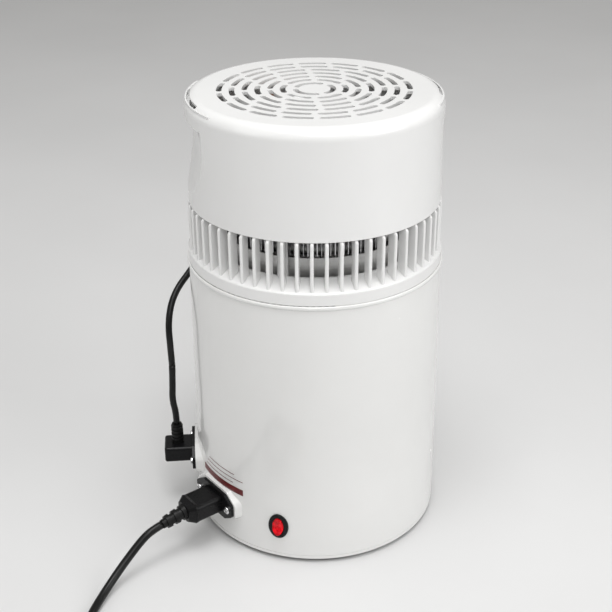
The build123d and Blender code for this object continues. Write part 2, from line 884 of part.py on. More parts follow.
with BuildPart() as louvre:
    with BuildSketch(Plane.XZ) as louvre_face:
        with BuildLine():
            Polyline(
                (louvre_inner_radius, ledge_height(louvre_inner_radius) - louvre_root),
                (louvre_outer_radius, ledge_height(louvre_outer_radius) - louvre_root),
                (louvre_outer_radius, lid_bottom),
                (louvre_ring_radius - louvre_root, lid_bottom),
                (louvre_ring_radius - louvre_root, lid_bottom + louvre_root),
                (louvre_inner_radius, lid_bottom + louvre_root),
                close=True,
            )
        make_face()
        outer_top = louvre_face.vertices().group_by(Axis.X)[-1].sort_by(Axis.Y)[-1]
        fillet(outer_top, louvre_corner)
    extrude(amount=louvre_thickness / 2, both=True)
    fillet(louvre.edges().filter_by(Axis.Z).group_by(Axis.X)[-1], louvre_round)

# Louvre ring: smooth band, sloping ledge, louvres, posts and a panel behind the spout
coil_outlet_height = coil_bottom - outlet_tube_drop
louvre_step = 360 / louvre_count
louvre_angles = [louvre_phase + i * louvre_step for i in range(louvre_count)]
spout_clear_angle = spout_half_angle + louvre_step / 3
open_angles = [a for a in louvre_angles if abs((a - spout_angle + 180) % 360 - 180) > spout_clear_angle]
panel_inner = band_radius - panel_thickness
spout_screw_height = coil_outlet_height + spout_screw_rise
spout_screw_places = [(-spout_screw_spacing / 2, 0), (spout_screw_spacing / 2, 0)]
with BuildPart() as louvre_ring:
    with BuildSketch(Plane.XZ) as ring_section:
        with BuildLine():
            Polyline(
                (band_radius - casing_wall, head_bottom),
                (band_radius, head_bottom),
                (band_radius, band_top),
                (ledge_crest_radius, ledge_top),
                (ledge_inner_radius, ledge_top),
                (ledge_inner_radius, ledge_top - casing_wall),
                (ledge_crest_radius, ledge_top - casing_wall),
                (band_radius - casing_wall, band_top - casing_wall),
                close=True,
            )
        make_face()
        fillet(ring_section.vertices().group_by(Axis.X)[-1], ledge_round)
    revolve(axis=Axis.Z)
    with BuildSketch(Plane.XY.offset(lid_bottom)):
        Circle(louvre_ring_radius)
        Circle(top_ring_inner, mode=Mode.SUBTRACT)
    extrude(amount=top_ring_thickness)
    with BuildSketch(Plane.XY.offset(dome_flange_top)):
        with PolarLocations(post_circle, post_count, start_angle=post_angle):
            Circle(post_radius)
    extrude(amount=lid_bottom + top_ring_thickness - dome_flange_top)
    with BuildSketch(meridian_plane(spout_angle - spout_half_angle)):
        with BuildLine():
            Polyline(
                (panel_inner, ledge_height(panel_inner) - louvre_root),
                (band_radius, ledge_height(band_radius) - louvre_root),
                (band_radius, lid_bottom),
                (louvre_ring_radius - louvre_root, lid_bottom),
                (louvre_ring_radius - louvre_root, lid_bottom + louvre_root),
                (louvre_inner_radius, lid_bottom + louvre_root),
                (louvre_inner_radius, lid_bottom - panel_thickness),
                (panel_inner, lid_bottom - panel_thickness),
                close=True,
            )
        make_face()
    revolve(axis=Axis.Z, revolution_arc=2 * spout_half_angle)
    with Locations(*[Rotation(0, 0, a) for a in open_angles]):
        add(louvre.part)
    with BuildSketch(Plane.XY.offset(dome_flange_top)):
        with PolarLocations(post_circle, post_count, start_angle=post_angle):
            Circle(screw_radius + fit_gap)
    extrude(amount=screw_length + fit_gap, mode=Mode.SUBTRACT)
    with BuildSketch(Plane.XY.offset(lid_bottom)):
        with PolarLocations(lid_boss_circle, post_count, start_angle=lid_boss_angle):
            Circle(screw_radius + hole_clearance)
    extrude(amount=top_ring_thickness, mode=Mode.SUBTRACT)
    with BuildSketch(side_plane(band_radius, spout_angle, coil_outlet_height)):
        Circle(tube_radius + spout_seal_wall + fit_gap)
    extrude(amount=-3 * panel_thickness, both=True, mode=Mode.SUBTRACT)
    with BuildSketch(side_plane(band_radius, spout_angle, spout_screw_height)):
        with Locations(*spout_screw_places):
            Circle(screw_radius + hole_clearance)
    extrude(amount=-3 * panel_thickness, both=True, mode=Mode.SUBTRACT)
    with BuildSketch(side_plane(band_radius, gland_angle, gland_height)):
        Circle(gland_radius + fit_gap)
    extrude(amount=-2 * casing_wall, both=True, mode=Mode.SUBTRACT)
louvre_ring.part.label = "louvre_ring"
export_step(louvre_ring.part, "parts/louvre_ring.step")

# Grip in the lid's side, on the +X side: what is filled in behind it, then what is cut away
scoop_run = grip_scoop_top - grip_scoop_bottom
scoop_depth = lid_radius - grip_flat
scoop_radius = (scoop_run**2 + scoop_depth**2) / (2 * scoop_depth)
scoop_over = scoop_depth + grip_wall
scoop_end = grip_scoop_top - math.sqrt(scoop_radius**2 - (scoop_radius - scoop_over) ** 2)
pocket_top = lid_top - lid_wall
pocket_floor_rise = grip_flat - grip_pocket_flat
with BuildPart() as grip_fill:
    with BuildSketch(Plane.XZ):
        with BuildLine():
            Line((lid_radius, pocket_top), (grip_pocket_flat - grip_wall, pocket_top))
            Line(
                (grip_pocket_flat - grip_wall, pocket_top),
                (grip_pocket_flat - grip_wall, grip_top - grip_wall),
            )
            Line(
                (grip_pocket_flat - grip_wall, grip_top - grip_wall),
                (grip_flat - grip_wall, grip_top - grip_wall - pocket_floor_rise),
            )
            Line(
                (grip_flat - grip_wall, grip_top - grip_wall - pocket_floor_rise),
                (grip_flat - grip_wall, grip_scoop_top),
            )
            TangentArc((grip_flat - grip_wall, grip_scoop_top), (lid_radius, scoop_end), tangent=(0, -1))
            Line((lid_radius, scoop_end), (lid_radius, pocket_top))
        make_face()
    extrude(amount=grip_pocket_half + 4 * grip_wall, both=True)
    with BuildSketch(Plane.XY.offset(scoop_end)):
        Circle(lid_radius - lid_wall / 2)
    extrude(amount=lid_height, mode=Mode.INTERSECT)

with BuildPart() as grip_pocket:
    with BuildSketch(Plane.XZ):
        with BuildLine():
            Polyline(
                (lid_radius, pocket_top),
                (grip_pocket_flat, pocket_top),
                (grip_pocket_flat, grip_top),
                (grip_flat, grip_top - pocket_floor_rise),
                (lid_radius, grip_top - pocket_floor_rise),
                close=True,
            )
        make_face()
    extrude(amount=grip_pocket_half, both=True)
    with BuildSketch(Plane.XY.offset(scoop_end)):
        Circle(lid_radius - grip_bar)
    extrude(amount=lid_height, mode=Mode.INTERSECT)

with BuildPart() as grip_scoop:
    with BuildSketch(Plane.XZ):
        with BuildLine():
            Line((lid_radius + grip_wall, grip_top), (grip_flat, grip_top))
            Line((grip_flat, grip_top), (grip_flat, grip_scoop_top))
            TangentArc((grip_flat, grip_scoop_top), (lid_radius + grip_wall, scoop_end), tangent=(0, -1))
            Line((lid_radius + grip_wall, scoop_end), (lid_radius + grip_wall, grip_top))
        make_face()
    extrude(amount=lid_radius, both=True)
    fillet(grip_scoop.edges().filter_by(Axis.Y).group_by(Axis.Z)[-1].sort_by(Axis.X)[0], rim_round)

# Lid over the fan
lid_edge = lid_bottom + lid_seat_gap
lid_boss_bottom = lid_bottom + top_ring_thickness
motor_post_places = [(-motor_screw_spacing / 2, 0), (motor_screw_spacing / 2, 0)]
with BuildPart() as lid_inside:
    with BuildSketch(Plane.XY.offset(lid_edge)):
        Circle(lid_radius - lid_wall)
    extrude(amount=lid_top - lid_wall - lid_edge)
    fillet(lid_inside.edges().group_by(Axis.Z)[-1], lid_round - lid_wall)

with BuildPart() as head_lid:
    with BuildSketch(Plane.XY.offset(lid_edge)):
        Circle(lid_radius)
    extrude(amount=lid_top - lid_edge)
    fillet(head_lid.edges().group_by(Axis.Z)[-1], lid_round)
    add(lid_inside.part, mode=Mode.SUBTRACT)
    with PolarLocations(0, 2):
        add(grip_fill.part)
    with PolarLocations(0, 2):
        add(grip_pocket.part, mode=Mode.SUBTRACT)
    with PolarLocations(0, 2):
        add(grip_scoop.part, mode=Mode.SUBTRACT)
    with BuildSketch(Plane.XY.offset(lid_top)):
        for grip_angle in (0, 180):
            slit_start = grip_angle - grip_slit_angle / 2
            slit_line = CenterArc((0, 0), grip_slit_radius, slit_start, grip_slit_angle, mode=Mode.PRIVATE)
            SlotArc(slit_line, grip_slit_width)
    extrude(amount=-3 * lid_wall, mode=Mode.SUBTRACT)
    with BuildSketch(Plane.XY.offset(lid_top)):
        for i in range(vent_rings):
            vent_radius = vent_first_radius + i * vent_pitch
            vent_count = round(2 * math.pi * vent_radius / vent_spacing)
            vent_arc = 360 / vent_count - math.degrees((vent_rib + vent_width) / vent_radius)
            for k in range(vent_count):
                vent_start = (k + i / 2) * 360 / vent_count
                vent_line = CenterArc((0, 0), vent_radius, vent_start, vent_arc, mode=Mode.PRIVATE)
                SlotArc(vent_line, vent_width)
    extrude(amount=-lid_wall, mode=Mode.SUBTRACT)
    with BuildSketch(Plane.XY.offset(lid_boss_bottom)):
        with PolarLocations(lid_boss_circle, post_count, start_angle=lid_boss_angle):
            Circle(lid_boss_radius)
        boss_web = lid_radius - lid_wall / 2 - lid_boss_circle
        with PolarLocations(lid_boss_circle + boss_web / 2, post_count, start_angle=lid_boss_angle):
            Rectangle(boss_web, lid_wall)
    extrude(amount=lid_boss_height)
    with BuildSketch(level_plane(motor_angle, motor_top)):
        with Locations(*motor_post_places):
            Circle(motor_post_radius)
    extrude(amount=lid_top - lid_wall / 2 - motor_top)
    with BuildSketch(Plane.XY.offset(lid_boss_bottom)):
        with PolarLocations(lid_boss_circle, post_count, start_angle=lid_boss_angle):
            Circle(screw_radius + fit_gap)
    extrude(amount=screw_length + fit_gap, mode=Mode.SUBTRACT)
    with BuildSketch(level_plane(motor_angle, motor_top)):
        with Locations(*motor_post_places):
            Circle(screw_radius + fit_gap)
    extrude(amount=motor_screw_bite + fit_gap, mode=Mode.SUBTRACT)
head_lid.part.label = "head_lid"
export_step(head_lid.part, "parts/head_lid.step")

# Steam dome: the head's stainless floor, with a rim round the coil that is open where the tube leaves
riser_foot = at_angle(riser_circle, riser_angle, 0)
with BuildPart() as dome_inside:
    with BuildSketch(Plane.XY.offset(dome_flange_bottom)):
        Circle(dome_radius - dome_thickness)
    extrude(amount=dome_rise)
    fillet(dome_inside.edges().group_by(Axis.Z)[-1], dome_round - dome_thickness)

with BuildPart() as steam_dome:
    with BuildSketch(Plane.XY.offset(dome_flange_bottom)):
        Circle(dome_radius)
    extrude(amount=dome_rise + dome_thickness)
    fillet(steam_dome.edges().group_by(Axis.Z)[-1], dome_round)
    with BuildSketch(Plane.XY.offset(dome_flange_bottom)):
        Circle(dome_flange_radius)
    extrude(amount=dome_thickness)
    add(dome_inside.part, mode=Mode.SUBTRACT)
    with BuildSketch(Plane.XY.offset(dome_top - dome_round)):
        Circle(dome_radius)
        Circle(dome_radius - dome_thickness, mode=Mode.SUBTRACT)
    extrude(amount=dome_rim_top - dome_top + dome_round)
    with BuildSketch(Plane.XY.offset(dome_top)):
        with PolarLocations(dome_radius, 1, start_angle=dome_rim_gap_angle):
            Rectangle(6 * dome_round, dome_rim_gap)
    extrude(amount=dome_rim_top - dome_top, mode=Mode.SUBTRACT)
    with BuildSketch(Plane.XY.offset(dome_flange_bottom)):
        with PolarLocations(post_circle, post_count, start_angle=post_angle):
            Circle(screw_radius + hole_clearance)
    extrude(amount=dome_thickness, mode=Mode.SUBTRACT)
    with BuildSketch(Plane.XY.offset(dome_flange_bottom)):
        with Locations(riser_foot):
            Circle(tube_radius + fit_gap)
    extrude(amount=2 * dome_rise, mode=Mode.SUBTRACT)
steam_dome.part.label = "steam_dome"
export_step(steam_dome.part, "parts/steam_dome.step")

# Silicone gasket between the dome's flange and the pot's rim
with BuildPart() as head_gasket:
    with BuildSketch(Plane.XY.offset(gasket_bottom)):
        Circle(dome_flange_radius)
        Circle(gasket_inner_radius, mode=Mode.SUBTRACT)
    extrude(amount=gasket_thickness)
head_gasket.part.label = "head_gasket"
export_step(head_gasket.part, "parts/head_gasket.step")


def upward_screws(circle, first_angle, seat):
    """Planes for screws driven upward through a seat on a circle about the axis."""
    angles = [first_angle + i * 360 / post_count for i in range(post_count)]
    return [Plane(origin=at_angle(circle, a, seat), x_dir=(1, 0, 0), z_dir=(0, 0, -1)) for a in angles]


# Screws from below: dome to posts, louvre ring to lid
with BuildPart() as dome_screws:
    with Locations(*upward_screws(post_circle, post_angle, dome_flange_bottom)):
        add(pan_screw(dome_thickness + screw_length))
dome_screws.part.label = "dome_screws"
export_step(dome_screws.part, "parts/dome_screws.step")

with BuildPart() as lid_screws:
    with Locations(*upward_screws(lid_boss_circle, lid_boss_angle, lid_bottom)):
        add(pan_screw(top_ring_thickness + screw_length))
lid_screws.part.label = "lid_screws"
export_step(lid_screws.part, "parts/lid_screws.step")

# Condenser tube: riser, descending coil, outlet through the panel into the spout
riser_top = dome_top + nut_height + riser_straight
coil_steps = math.ceil(coil_sweep / 90)
coil_fall = -coil_pitch / (2 * math.pi * coil_radius)
outlet_bend_end = at_angle(panel_inner - 2 * tube_radius, spout_angle, coil_outlet_height)
outlet_tube_end = at_angle(spout_reach - spout_bore - fit_gap, spout_angle, coil_outlet_height)
outward = at_angle(1, spout_angle, 0)


def coil_point(step):
    """Point on the coil after some of its equal steps."""
    angle = coil_start_angle + coil_sweep * step / coil_steps
    return at_angle(coil_radius, angle, coil_top - coil_pitch * coil_sweep / 360 * step / coil_steps)


def coil_tangent(step):
    """Direction of the coil there."""
    angle = coil_start_angle + coil_sweep * step / coil_steps
    return (at_angle(1, angle + 90, 0) + Vector(0, 0, coil_fall)).normalized()


with BuildPart() as condenser_tube:
    with BuildLine() as tube_line:
        riser_end = riser_foot + Vector(0, 0, riser_top)
        Line(riser_foot + Vector(0, 0, dome_top - dome_thickness - riser_dip), riser_end)
        biarc(riser_end, Vector(0, 0, 1), coil_point(0), coil_tangent(0))
        for step in range(coil_steps):
            biarc(coil_point(step), coil_tangent(step), coil_point(step + 1), coil_tangent(step + 1))
        biarc(coil_point(coil_steps), coil_tangent(coil_steps), outlet_bend_end, outward)
        Line(outlet_bend_end, outlet_tube_end)
    tube_path = tube_line.wire()
    with BuildSketch(Plane(origin=tube_path @ 0, z_dir=tube_path % 0)):
        Circle(tube_radius)
        Circle(tube_radius - tube_wall, mode=Mode.SUBTRACT)
    sweep(path=tube_path)
tube_gap = least_gap(tube_path, tube_radius, 400)
print(f"condenser tube: length {tube_path.length:.1f}, least gap {tube_gap:.2f}")
condenser_tube.part.label = "condenser_tube"
export_step(condenser_tube.part, "parts/condenser_tube.step")

# Fins on the coil: thin upright plates, slotted for the tube
fin_bottom = coil_bottom - tube_radius - fin_margin
fin_top = coil_top + tube_radius + fin_margin
fin_first = coil_start_angle + fin_end_angle
fin_last = coil_end_angle + 360 - fin_end_angle
fin_angles = [fin_first + (fin_last - fin_first) * i / (fin_count - 1) for i in range(fin_count)]
clear_angles = [a for a in fin_angles if min(abs(a - c) for c in clip_angles) > clip_clear_angle]
with BuildPart() as condenser_fin:
    with BuildSketch(Plane.XZ):
        with Locations(((fin_inner_radius + fin_outer_radius) / 2, (fin_bottom + fin_top) / 2)):
            Rectangle(fin_outer_radius - fin_inner_radius, fin_top - fin_bottom)
        with Locations((coil_radius, (fin_bottom + fin_top) / 2)):
            slot_width = 2 * (tube_radius + fin_clearance)
            SlotOverall(coil_top - coil_bottom + slot_width, slot_width, rotation=90, mode=Mode.SUBTRACT)
    extrude(amount=fin_thickness / 2, both=True)

with BuildPart() as condenser_fins:
    with Locations(*[Rotation(0, 0, a) for a in clear_angles]):
        add(condenser_fin.part)
condenser_fins.part.label = "condenser_fins"
export_step(condenser_fins.part, "parts/condenser_fins.step")

# Upright straps that hold the coil up from the dome
strap_outer = coil_radius - tube_radius - fit_gap
with BuildPart() as coil_straps:
    for clip_angle in clip_angles:
        with BuildSketch(side_plane(strap_outer, clip_angle, dome_top)):
            with Locations((0, (coil_top - dome_top) / 2)):
                Rectangle(clip_width, coil_top - dome_top)
        extrude(amount=-clip_thickness)
        with BuildSketch(side_plane(strap_outer, clip_angle, dome_top)):
            with Locations((0, clip_thickness / 2)):
                Rectangle(clip_width, clip_thickness)
        extrude(amount=-clip_foot)
coil_straps.part.label = "coil_straps"
export_step(coil_straps.part, "parts/coil_straps.step")

# Nut round the riser on the dome
with BuildPart() as steam_nut:
    with BuildSketch(Plane.XY.offset(dome_top)):
        with Locations(riser_foot):
            RegularPolygon(nut_width / 2, 6)
            Circle(tube_radius + fit_gap, mode=Mode.SUBTRACT)
    extrude(amount=nut_height)
    chamfer(steam_nut.edges().filter_by(GeomType.LINE).group_by(Axis.Z)[-1], rim_round)
steam_nut.part.label = "steam_nut"
export_step(steam_nut.part, "parts/steam_nut.step")

# Shaded-pole motor: laminated core
with BuildPart() as motor_core:
    with BuildSketch(level_plane(motor_angle, stator_bottom)):
        with Locations((0, (motor_reach - motor_back) / 2)):
            Rectangle(motor_width, motor_reach + motor_back)
        Circle(stator_bore, mode=Mode.SUBTRACT)
        with Locations((0, (window_near + window_far) / 2)):
            Rectangle(2 * window_half, window_far - window_near, mode=Mode.SUBTRACT)
        with Locations(*motor_post_places):
            Circle(screw_radius + hole_clearance, mode=Mode.SUBTRACT)
    extrude(amount=stator_height)
motor_core.part.label = "motor_core"
export_step(motor_core.part, "parts/motor_core.step")

# Winding round the core's outer leg
winding_depth = window_far - window_near - winding_gap
winding_centre = (window_far + motor_reach) / 2
winding_level = level_plane(motor_angle, (stator_bottom + stator_top) / 2)
winding_plane = Plane(
    origin=winding_level.from_local_coords((0, winding_centre, 0)),
    x_dir=winding_level.y_dir,
    z_dir=winding_level.x_dir,
)
leg_depth = motor_reach - window_far
winding_outer = (leg_depth + 2 * winding_depth, stator_height + 2 * winding_overhang)
with BuildPart() as motor_winding:
    with BuildSketch(winding_plane):
        RectangleRounded(*winding_outer, winding_overhang / 2)
        Rectangle(leg_depth + 2 * fit_gap, stator_height + 2 * fit_gap, mode=Mode.SUBTRACT)
    extrude(amount=window_half - winding_gap, both=True)
motor_winding.part.label = "motor_winding"
export_step(motor_winding.part, "parts/motor_winding.step")

# Bearing brackets above and below the core
with BuildPart() as lower_bracket:
    with BuildSketch(level_plane(motor_angle, motor_bottom)):
        Rectangle(motor_width, bracket_width)
    extrude(amount=bracket_thickness)
    with BuildSketch(level_plane(motor_angle, motor_bottom)):
        with GridLocations(motor_width - bracket_foot, 0, 2, 1):
            Rectangle(bracket_foot, bracket_width)
    extrude(amount=bracket_thickness + bracket_standoff)
    with BuildSketch(level_plane(motor_angle, motor_bottom - bracket_thickness)):
        Circle(bearing_radius)
    extrude(amount=bracket_thickness + bracket_standoff)
    with BuildSketch(level_plane(motor_angle, motor_bottom - bracket_thickness)):
        Circle(shaft_radius + running_gap)
        with Locations(*motor_post_places):
            Circle(screw_radius + hole_clearance)
    extrude(amount=3 * bracket_thickness + bracket_standoff, mode=Mode.SUBTRACT)
lower_bracket.part.label = "lower_bracket"
export_step(lower_bracket.part, "parts/lower_bracket.step")

with BuildPart() as upper_bracket:
    with BuildSketch(level_plane(motor_angle, motor_top)):
        Rectangle(motor_width, bracket_width)
    extrude(amount=-bracket_thickness)
    with BuildSketch(level_plane(motor_angle, motor_top)):
        with GridLocations(motor_width - bracket_foot, 0, 2, 1):
            Rectangle(bracket_foot, bracket_width)
    extrude(amount=-bracket_thickness - bracket_standoff)
    with BuildSketch(level_plane(motor_angle, motor_top + bracket_thickness)):
        Circle(bearing_radius)
    extrude(amount=-bracket_thickness - bracket_standoff)
    with BuildSketch(level_plane(motor_angle, motor_top + bracket_thickness)):
        Circle(shaft_radius + running_gap)
        with Locations(*motor_post_places):
            Circle(screw_radius + hole_clearance)
    extrude(amount=-3 * bracket_thickness - bracket_standoff, mode=Mode.SUBTRACT)
upper_bracket.part.label = "upper_bracket"
export_step(upper_bracket.part, "parts/upper_bracket.step")

motor_screw_level = level_plane(motor_angle, motor_bottom)
motor_screw_planes = [
    Plane(origin=motor_screw_level.from_local_coords(place), x_dir=(1, 0, 0), z_dir=(0, 0, -1))
    for place in motor_post_places
]
with BuildPart() as motor_screws:
    with Locations(*motor_screw_planes):
        add(pan_screw(motor_top - motor_bottom + motor_screw_bite))
motor_screws.part.label = "motor_screws"
export_step(motor_screws.part, "parts/motor_screws.step")

# Rotor on its shaft
hub_bottom = fan_centre - fan_hub_height / 2
shaft_bottom = hub_bottom - fan_nut_height - shaft_radius / 2
with BuildPart() as motor_rotor:
    with BuildSketch(Plane.XY.offset(stator_bottom)):
        Circle(stator_bore - rotor_gap)
    extrude(amount=stator_height)
    with BuildSketch(Plane.XY.offset(shaft_bottom)):
        Circle(shaft_radius)
    extrude(amount=motor_top + bracket_thickness - shaft_bottom)
motor_rotor.part.label = "motor_rotor"
export_step(motor_rotor.part, "parts/motor_rotor.step")

# Fan: one pitched blade, then the hub with all of them
blade_turn = math.radians(blade_pitch)
blade_plane = Plane(
    origin=(0, 0, fan_centre),
    x_dir=(1, 0, 0),
    z_dir=(0, math.sin(blade_turn), math.cos(blade_turn)),
)
with BuildPart() as blade:
    with BuildSketch(blade_plane) as blade_face:
        with BuildLine():
            Polyline(
                (fan_hub_radius - blade_thickness, -blade_root),
                (fan_radius - blade_tip / 2, -blade_tip),
                (fan_radius - blade_tip / 4, blade_tip),
                (fan_hub_radius - blade_thickness, blade_root),
                close=True,
            )
        make_face()
        fillet(blade_face.vertices().sort_by(Axis.X)[-2:], blade_root)
    extrude(amount=blade_thickness / 2, both=True)

with BuildPart() as fan_blade:
    with BuildSketch(Plane.XY.offset(hub_bottom)):
        Circle(fan_hub_radius)
    extrude(amount=fan_hub_height)
    fillet(fan_blade.edges().group_by(Axis.Z)[0], rim_round * 2)
    with PolarLocations(0, blade_count):
        add(blade.part)
    with BuildSketch(Plane.XY.offset(hub_bottom)):
        Circle(shaft_radius + running_gap)
    extrude(amount=fan_hub_height, mode=Mode.SUBTRACT)
fan_blade.part.label = "fan_blade"
export_step(fan_blade.part, "parts/fan_blade.step")

with BuildPart() as fan_nut:
    with BuildSketch(Plane.XY.offset(hub_bottom)):
        RegularPolygon(fan_nut_radius, 6)
        Circle(shaft_radius + running_gap, mode=Mode.SUBTRACT)
    extrude(amount=-fan_nut_height)
fan_nut.part.label = "fan_nut"
export_step(fan_nut.part, "parts/fan_nut.step")

# Spout housing with its bore, nozzle and tube entry
spout_level = level_plane(spout_angle, spout_bottom)
spout_centre = (0, spout_reach)
spout_outer = spout_bore + spout_wall
spout_depth = spout_top - spout_bottom
spout_back = band_radius + fit_gap
with BuildPart() as spout_housing:
    with BuildSketch(spout_level):
        with Locations(spout_centre):
            Circle(spout_outer)
        with Locations((0, (panel_inner + spout_reach) / 2)):
            Rectangle(2 * spout_outer, spout_reach - panel_inner)
    extrude(amount=spout_depth)
    with BuildSketch(spout_level):
        Circle(spout_back)
    extrude(amount=spout_depth, mode=Mode.SUBTRACT)
    spout_arcs = spout_housing.edges().filter_by(GeomType.CIRCLE)
    fillet(spout_arcs.group_by(Axis.Z)[0].sort_by(Axis.Y)[0], rim_round * 2)
    with BuildSketch(spout_level.offset(-nozzle_length)):
        with Locations(spout_centre):
            Circle(nozzle_radius)
    extrude(amount=nozzle_length)
    with BuildSketch(spout_level.offset(-nozzle_length)):
        with Locations(spout_centre):
            Circle(nozzle_bore)
    extrude(amount=nozzle_length + spout_depth, mode=Mode.SUBTRACT)
    with BuildSketch(spout_level.offset(spout_floor)):
        with Locations(spout_centre):
            Circle(spout_bore)
    extrude(amount=spout_depth, mode=Mode.SUBTRACT)
    with BuildSketch(side_plane(panel_inner, spout_angle, coil_outlet_height)):
        Circle(tube_radius + fit_gap)
    extrude(amount=spout_reach - panel_inner, mode=Mode.SUBTRACT)
    with BuildSketch(side_plane(spout_back, spout_angle, spout_screw_height)):
        with Locations(*spout_screw_places):
            Circle(screw_radius + fit_gap)
    extrude(amount=screw_length, both=True, mode=Mode.SUBTRACT)
spout_housing.part.label = "spout_housing"
export_step(spout_housing.part, "parts/spout_housing.step")

# Seal round the tube where it passes the panel
seal_flange = tube_radius + 2 * spout_seal_wall
seal_seat = math.sqrt(panel_inner**2 - seal_flange**2) - fit_gap
with BuildPart() as spout_seal:
    with BuildSketch(side_plane(seal_seat, spout_angle, coil_outlet_height)):
        Circle(tube_radius + spout_seal_wall)
        Circle(tube_radius + fit_gap, mode=Mode.SUBTRACT)
    extrude(amount=panel_thickness)
    with BuildSketch(side_plane(seal_seat, spout_angle, coil_outlet_height)):
        Circle(seal_flange)
        Circle(tube_radius + fit_gap, mode=Mode.SUBTRACT)
    extrude(amount=-spout_seal_wall)
spout_seal.part.label = "spout_seal"
export_step(spout_seal.part, "parts/spout_seal.step")

# Screws from inside the head into the spout
screw_reach = spout_screw_spacing / 2 + screw_head_radius
spout_screw_seat = math.sqrt(panel_inner**2 - screw_reach**2) - fit_gap
spout_screw_side = side_plane(spout_screw_seat, spout_angle, spout_screw_height)
spout_screw_planes = [
    Plane(origin=spout_screw_side.from_local_coords(place), x_dir=(1, 0, 0), z_dir=-outward)
    for place in spout_screw_places
]
with BuildPart() as spout_screws:
    with Locations(*spout_screw_planes):
        add(pan_screw(spout_back - spout_screw_seat + spout_screw_bite))
spout_screws.part.label = "spout_screws"
export_step(spout_screws.part, "parts/spout_screws.step")

# Filter cup that drops into the spout from above
cup_radius = spout_bore - filter_clearance
cup_bottom = spout_bottom + spout_floor + body_gap
cup_level = level_plane(spout_angle, cup_bottom)
cup_bore = cup_radius - filter_wall
with BuildPart() as filter_cup:
    with BuildSketch(cup_level):
        with Locations(spout_centre):
            Circle(cup_radius)
    extrude(amount=spout_top - cup_bottom)
    with BuildSketch(cup_level.offset(filter_wall)):
        with Locations(spout_centre):
            Circle(cup_bore)
    extrude(amount=spout_top - cup_bottom, mode=Mode.SUBTRACT)
    with BuildSketch(cup_level):
        with Locations(spout_centre):
            with PolarLocations(filter_hole_circle, filter_hole_count):
                Circle(filter_hole_radius)
            Circle(filter_hole_radius)
    extrude(amount=filter_wall, mode=Mode.SUBTRACT)
    with BuildSketch(side_plane(spout_reach - cup_radius, spout_angle, coil_outlet_height)):
        Circle(tube_radius)
    extrude(amount=filter_wall * 3, both=True, mode=Mode.SUBTRACT)
filter_cup.part.label = "filter_cup"
export_step(filter_cup.part, "parts/filter_cup.step")

# Carbon pod in the bottom of the cup
with BuildPart() as carbon_pod:
    with BuildSketch(cup_level.offset(filter_wall)):
        with Locations(spout_centre):
            Circle(cup_bore - pod_clearance)
    extrude(amount=pod_height)
    fillet(carbon_pod.edges().filter_by(GeomType.CIRCLE), rim_round * 2)
carbon_pod.part.label = "carbon_pod"
export_step(carbon_pod.part, "parts/carbon_pod.step")

# Cap of the cup, with a finger tab
cap_level = level_plane(spout_angle, spout_top)
with BuildPart() as filter_cap:
    with BuildSketch(cap_level.offset(body_gap)):
        with Locations(spout_centre):
            Circle(cap_radius)
    extrude(amount=cap_thickness)
    fillet(filter_cap.edges().group_by(Axis.Z)[-1], rim_round)
    with BuildSketch(cap_level.offset(body_gap)):
        with Locations(spout_centre):
            Circle(cup_bore - fit_gap)
    extrude(amount=-cap_plug_depth)
    with BuildSketch(cap_level.offset(body_gap + cap_thickness)):
        with Locations(spout_centre):
            SlotOverall(cap_tab_length, cap_tab_thickness)
    extrude(amount=cap_tab_height)
filter_cap.part.label = "filter_cap"
export_step(filter_cap.part, "parts/filter_cap.step")


def ribbed_relief(start_radius, end_radius, length, ribs=relief_ribs, groove=relief_groove):
    """Tapered strain relief along +Z with grooves between its ribs."""
    steps = 2 * ribs
    step = length / steps
    corners = [(0, 0)]
    for i in range(steps):
        depth = groove * (i % 2)
        near = start_radius + (end_radius - start_radius) * i / steps - depth
        far = start_radius + (end_radius - start_radius) * (i + 1) / steps - depth
        corners.append((near, i * step))
        corners.append((far, (i + 1) * step))
    corners.append((0, length))
    with BuildPart() as relief:
        with BuildSketch(Plane.XZ):
            with BuildLine():
                Polyline(*corners, close=True)
            make_face()
        revolve(axis=Axis.Z)
    return relief.part


# Mains connector in the inlet
connector_tip = recess_floor + body_gap
connector_front = flange_thickness + body_gap
grip_start = connector_front + connector_nose_out
grip_end = grip_start + connector_grip_length
nose_width = inlet_recess_width - 2 * connector_fit
nose_height = inlet_recess_height - 2 * connector_fit
with BuildPart() as mains_connector:
    with BuildSketch(inlet_plane.offset(connector_tip)):
        RectangleRounded(nose_width, nose_height, recess_corner)
    extrude(amount=grip_start - connector_tip)
    with BuildSketch(inlet_plane.offset(grip_start - connector_grip_length / 2)):
        RectangleRounded(nose_width, nose_height, recess_corner)
    with BuildSketch(inlet_plane.offset(grip_start)):
        RectangleRounded(connector_grip_width, connector_grip_height, recess_corner)
    loft()
    with BuildSketch(inlet_plane.offset(grip_start)):
        RectangleRounded(connector_grip_width, connector_grip_height, recess_corner)
    with BuildSketch(inlet_plane.offset(grip_end)):
        RectangleRounded(connector_rear_width, connector_rear_height, recess_corner)
    loft()
    with BuildSketch(inlet_plane.offset(connector_tip)):
        with Locations(*pin_slots):
            Rectangle(inlet_pin_width + 2 * connector_fit, inlet_pin_height + 2 * connector_fit)
    extrude(amount=inlet_pin_length, mode=Mode.SUBTRACT)
mains_connector.part.label = "mains_connector"
export_step(mains_connector.part, "parts/mains_connector.step")

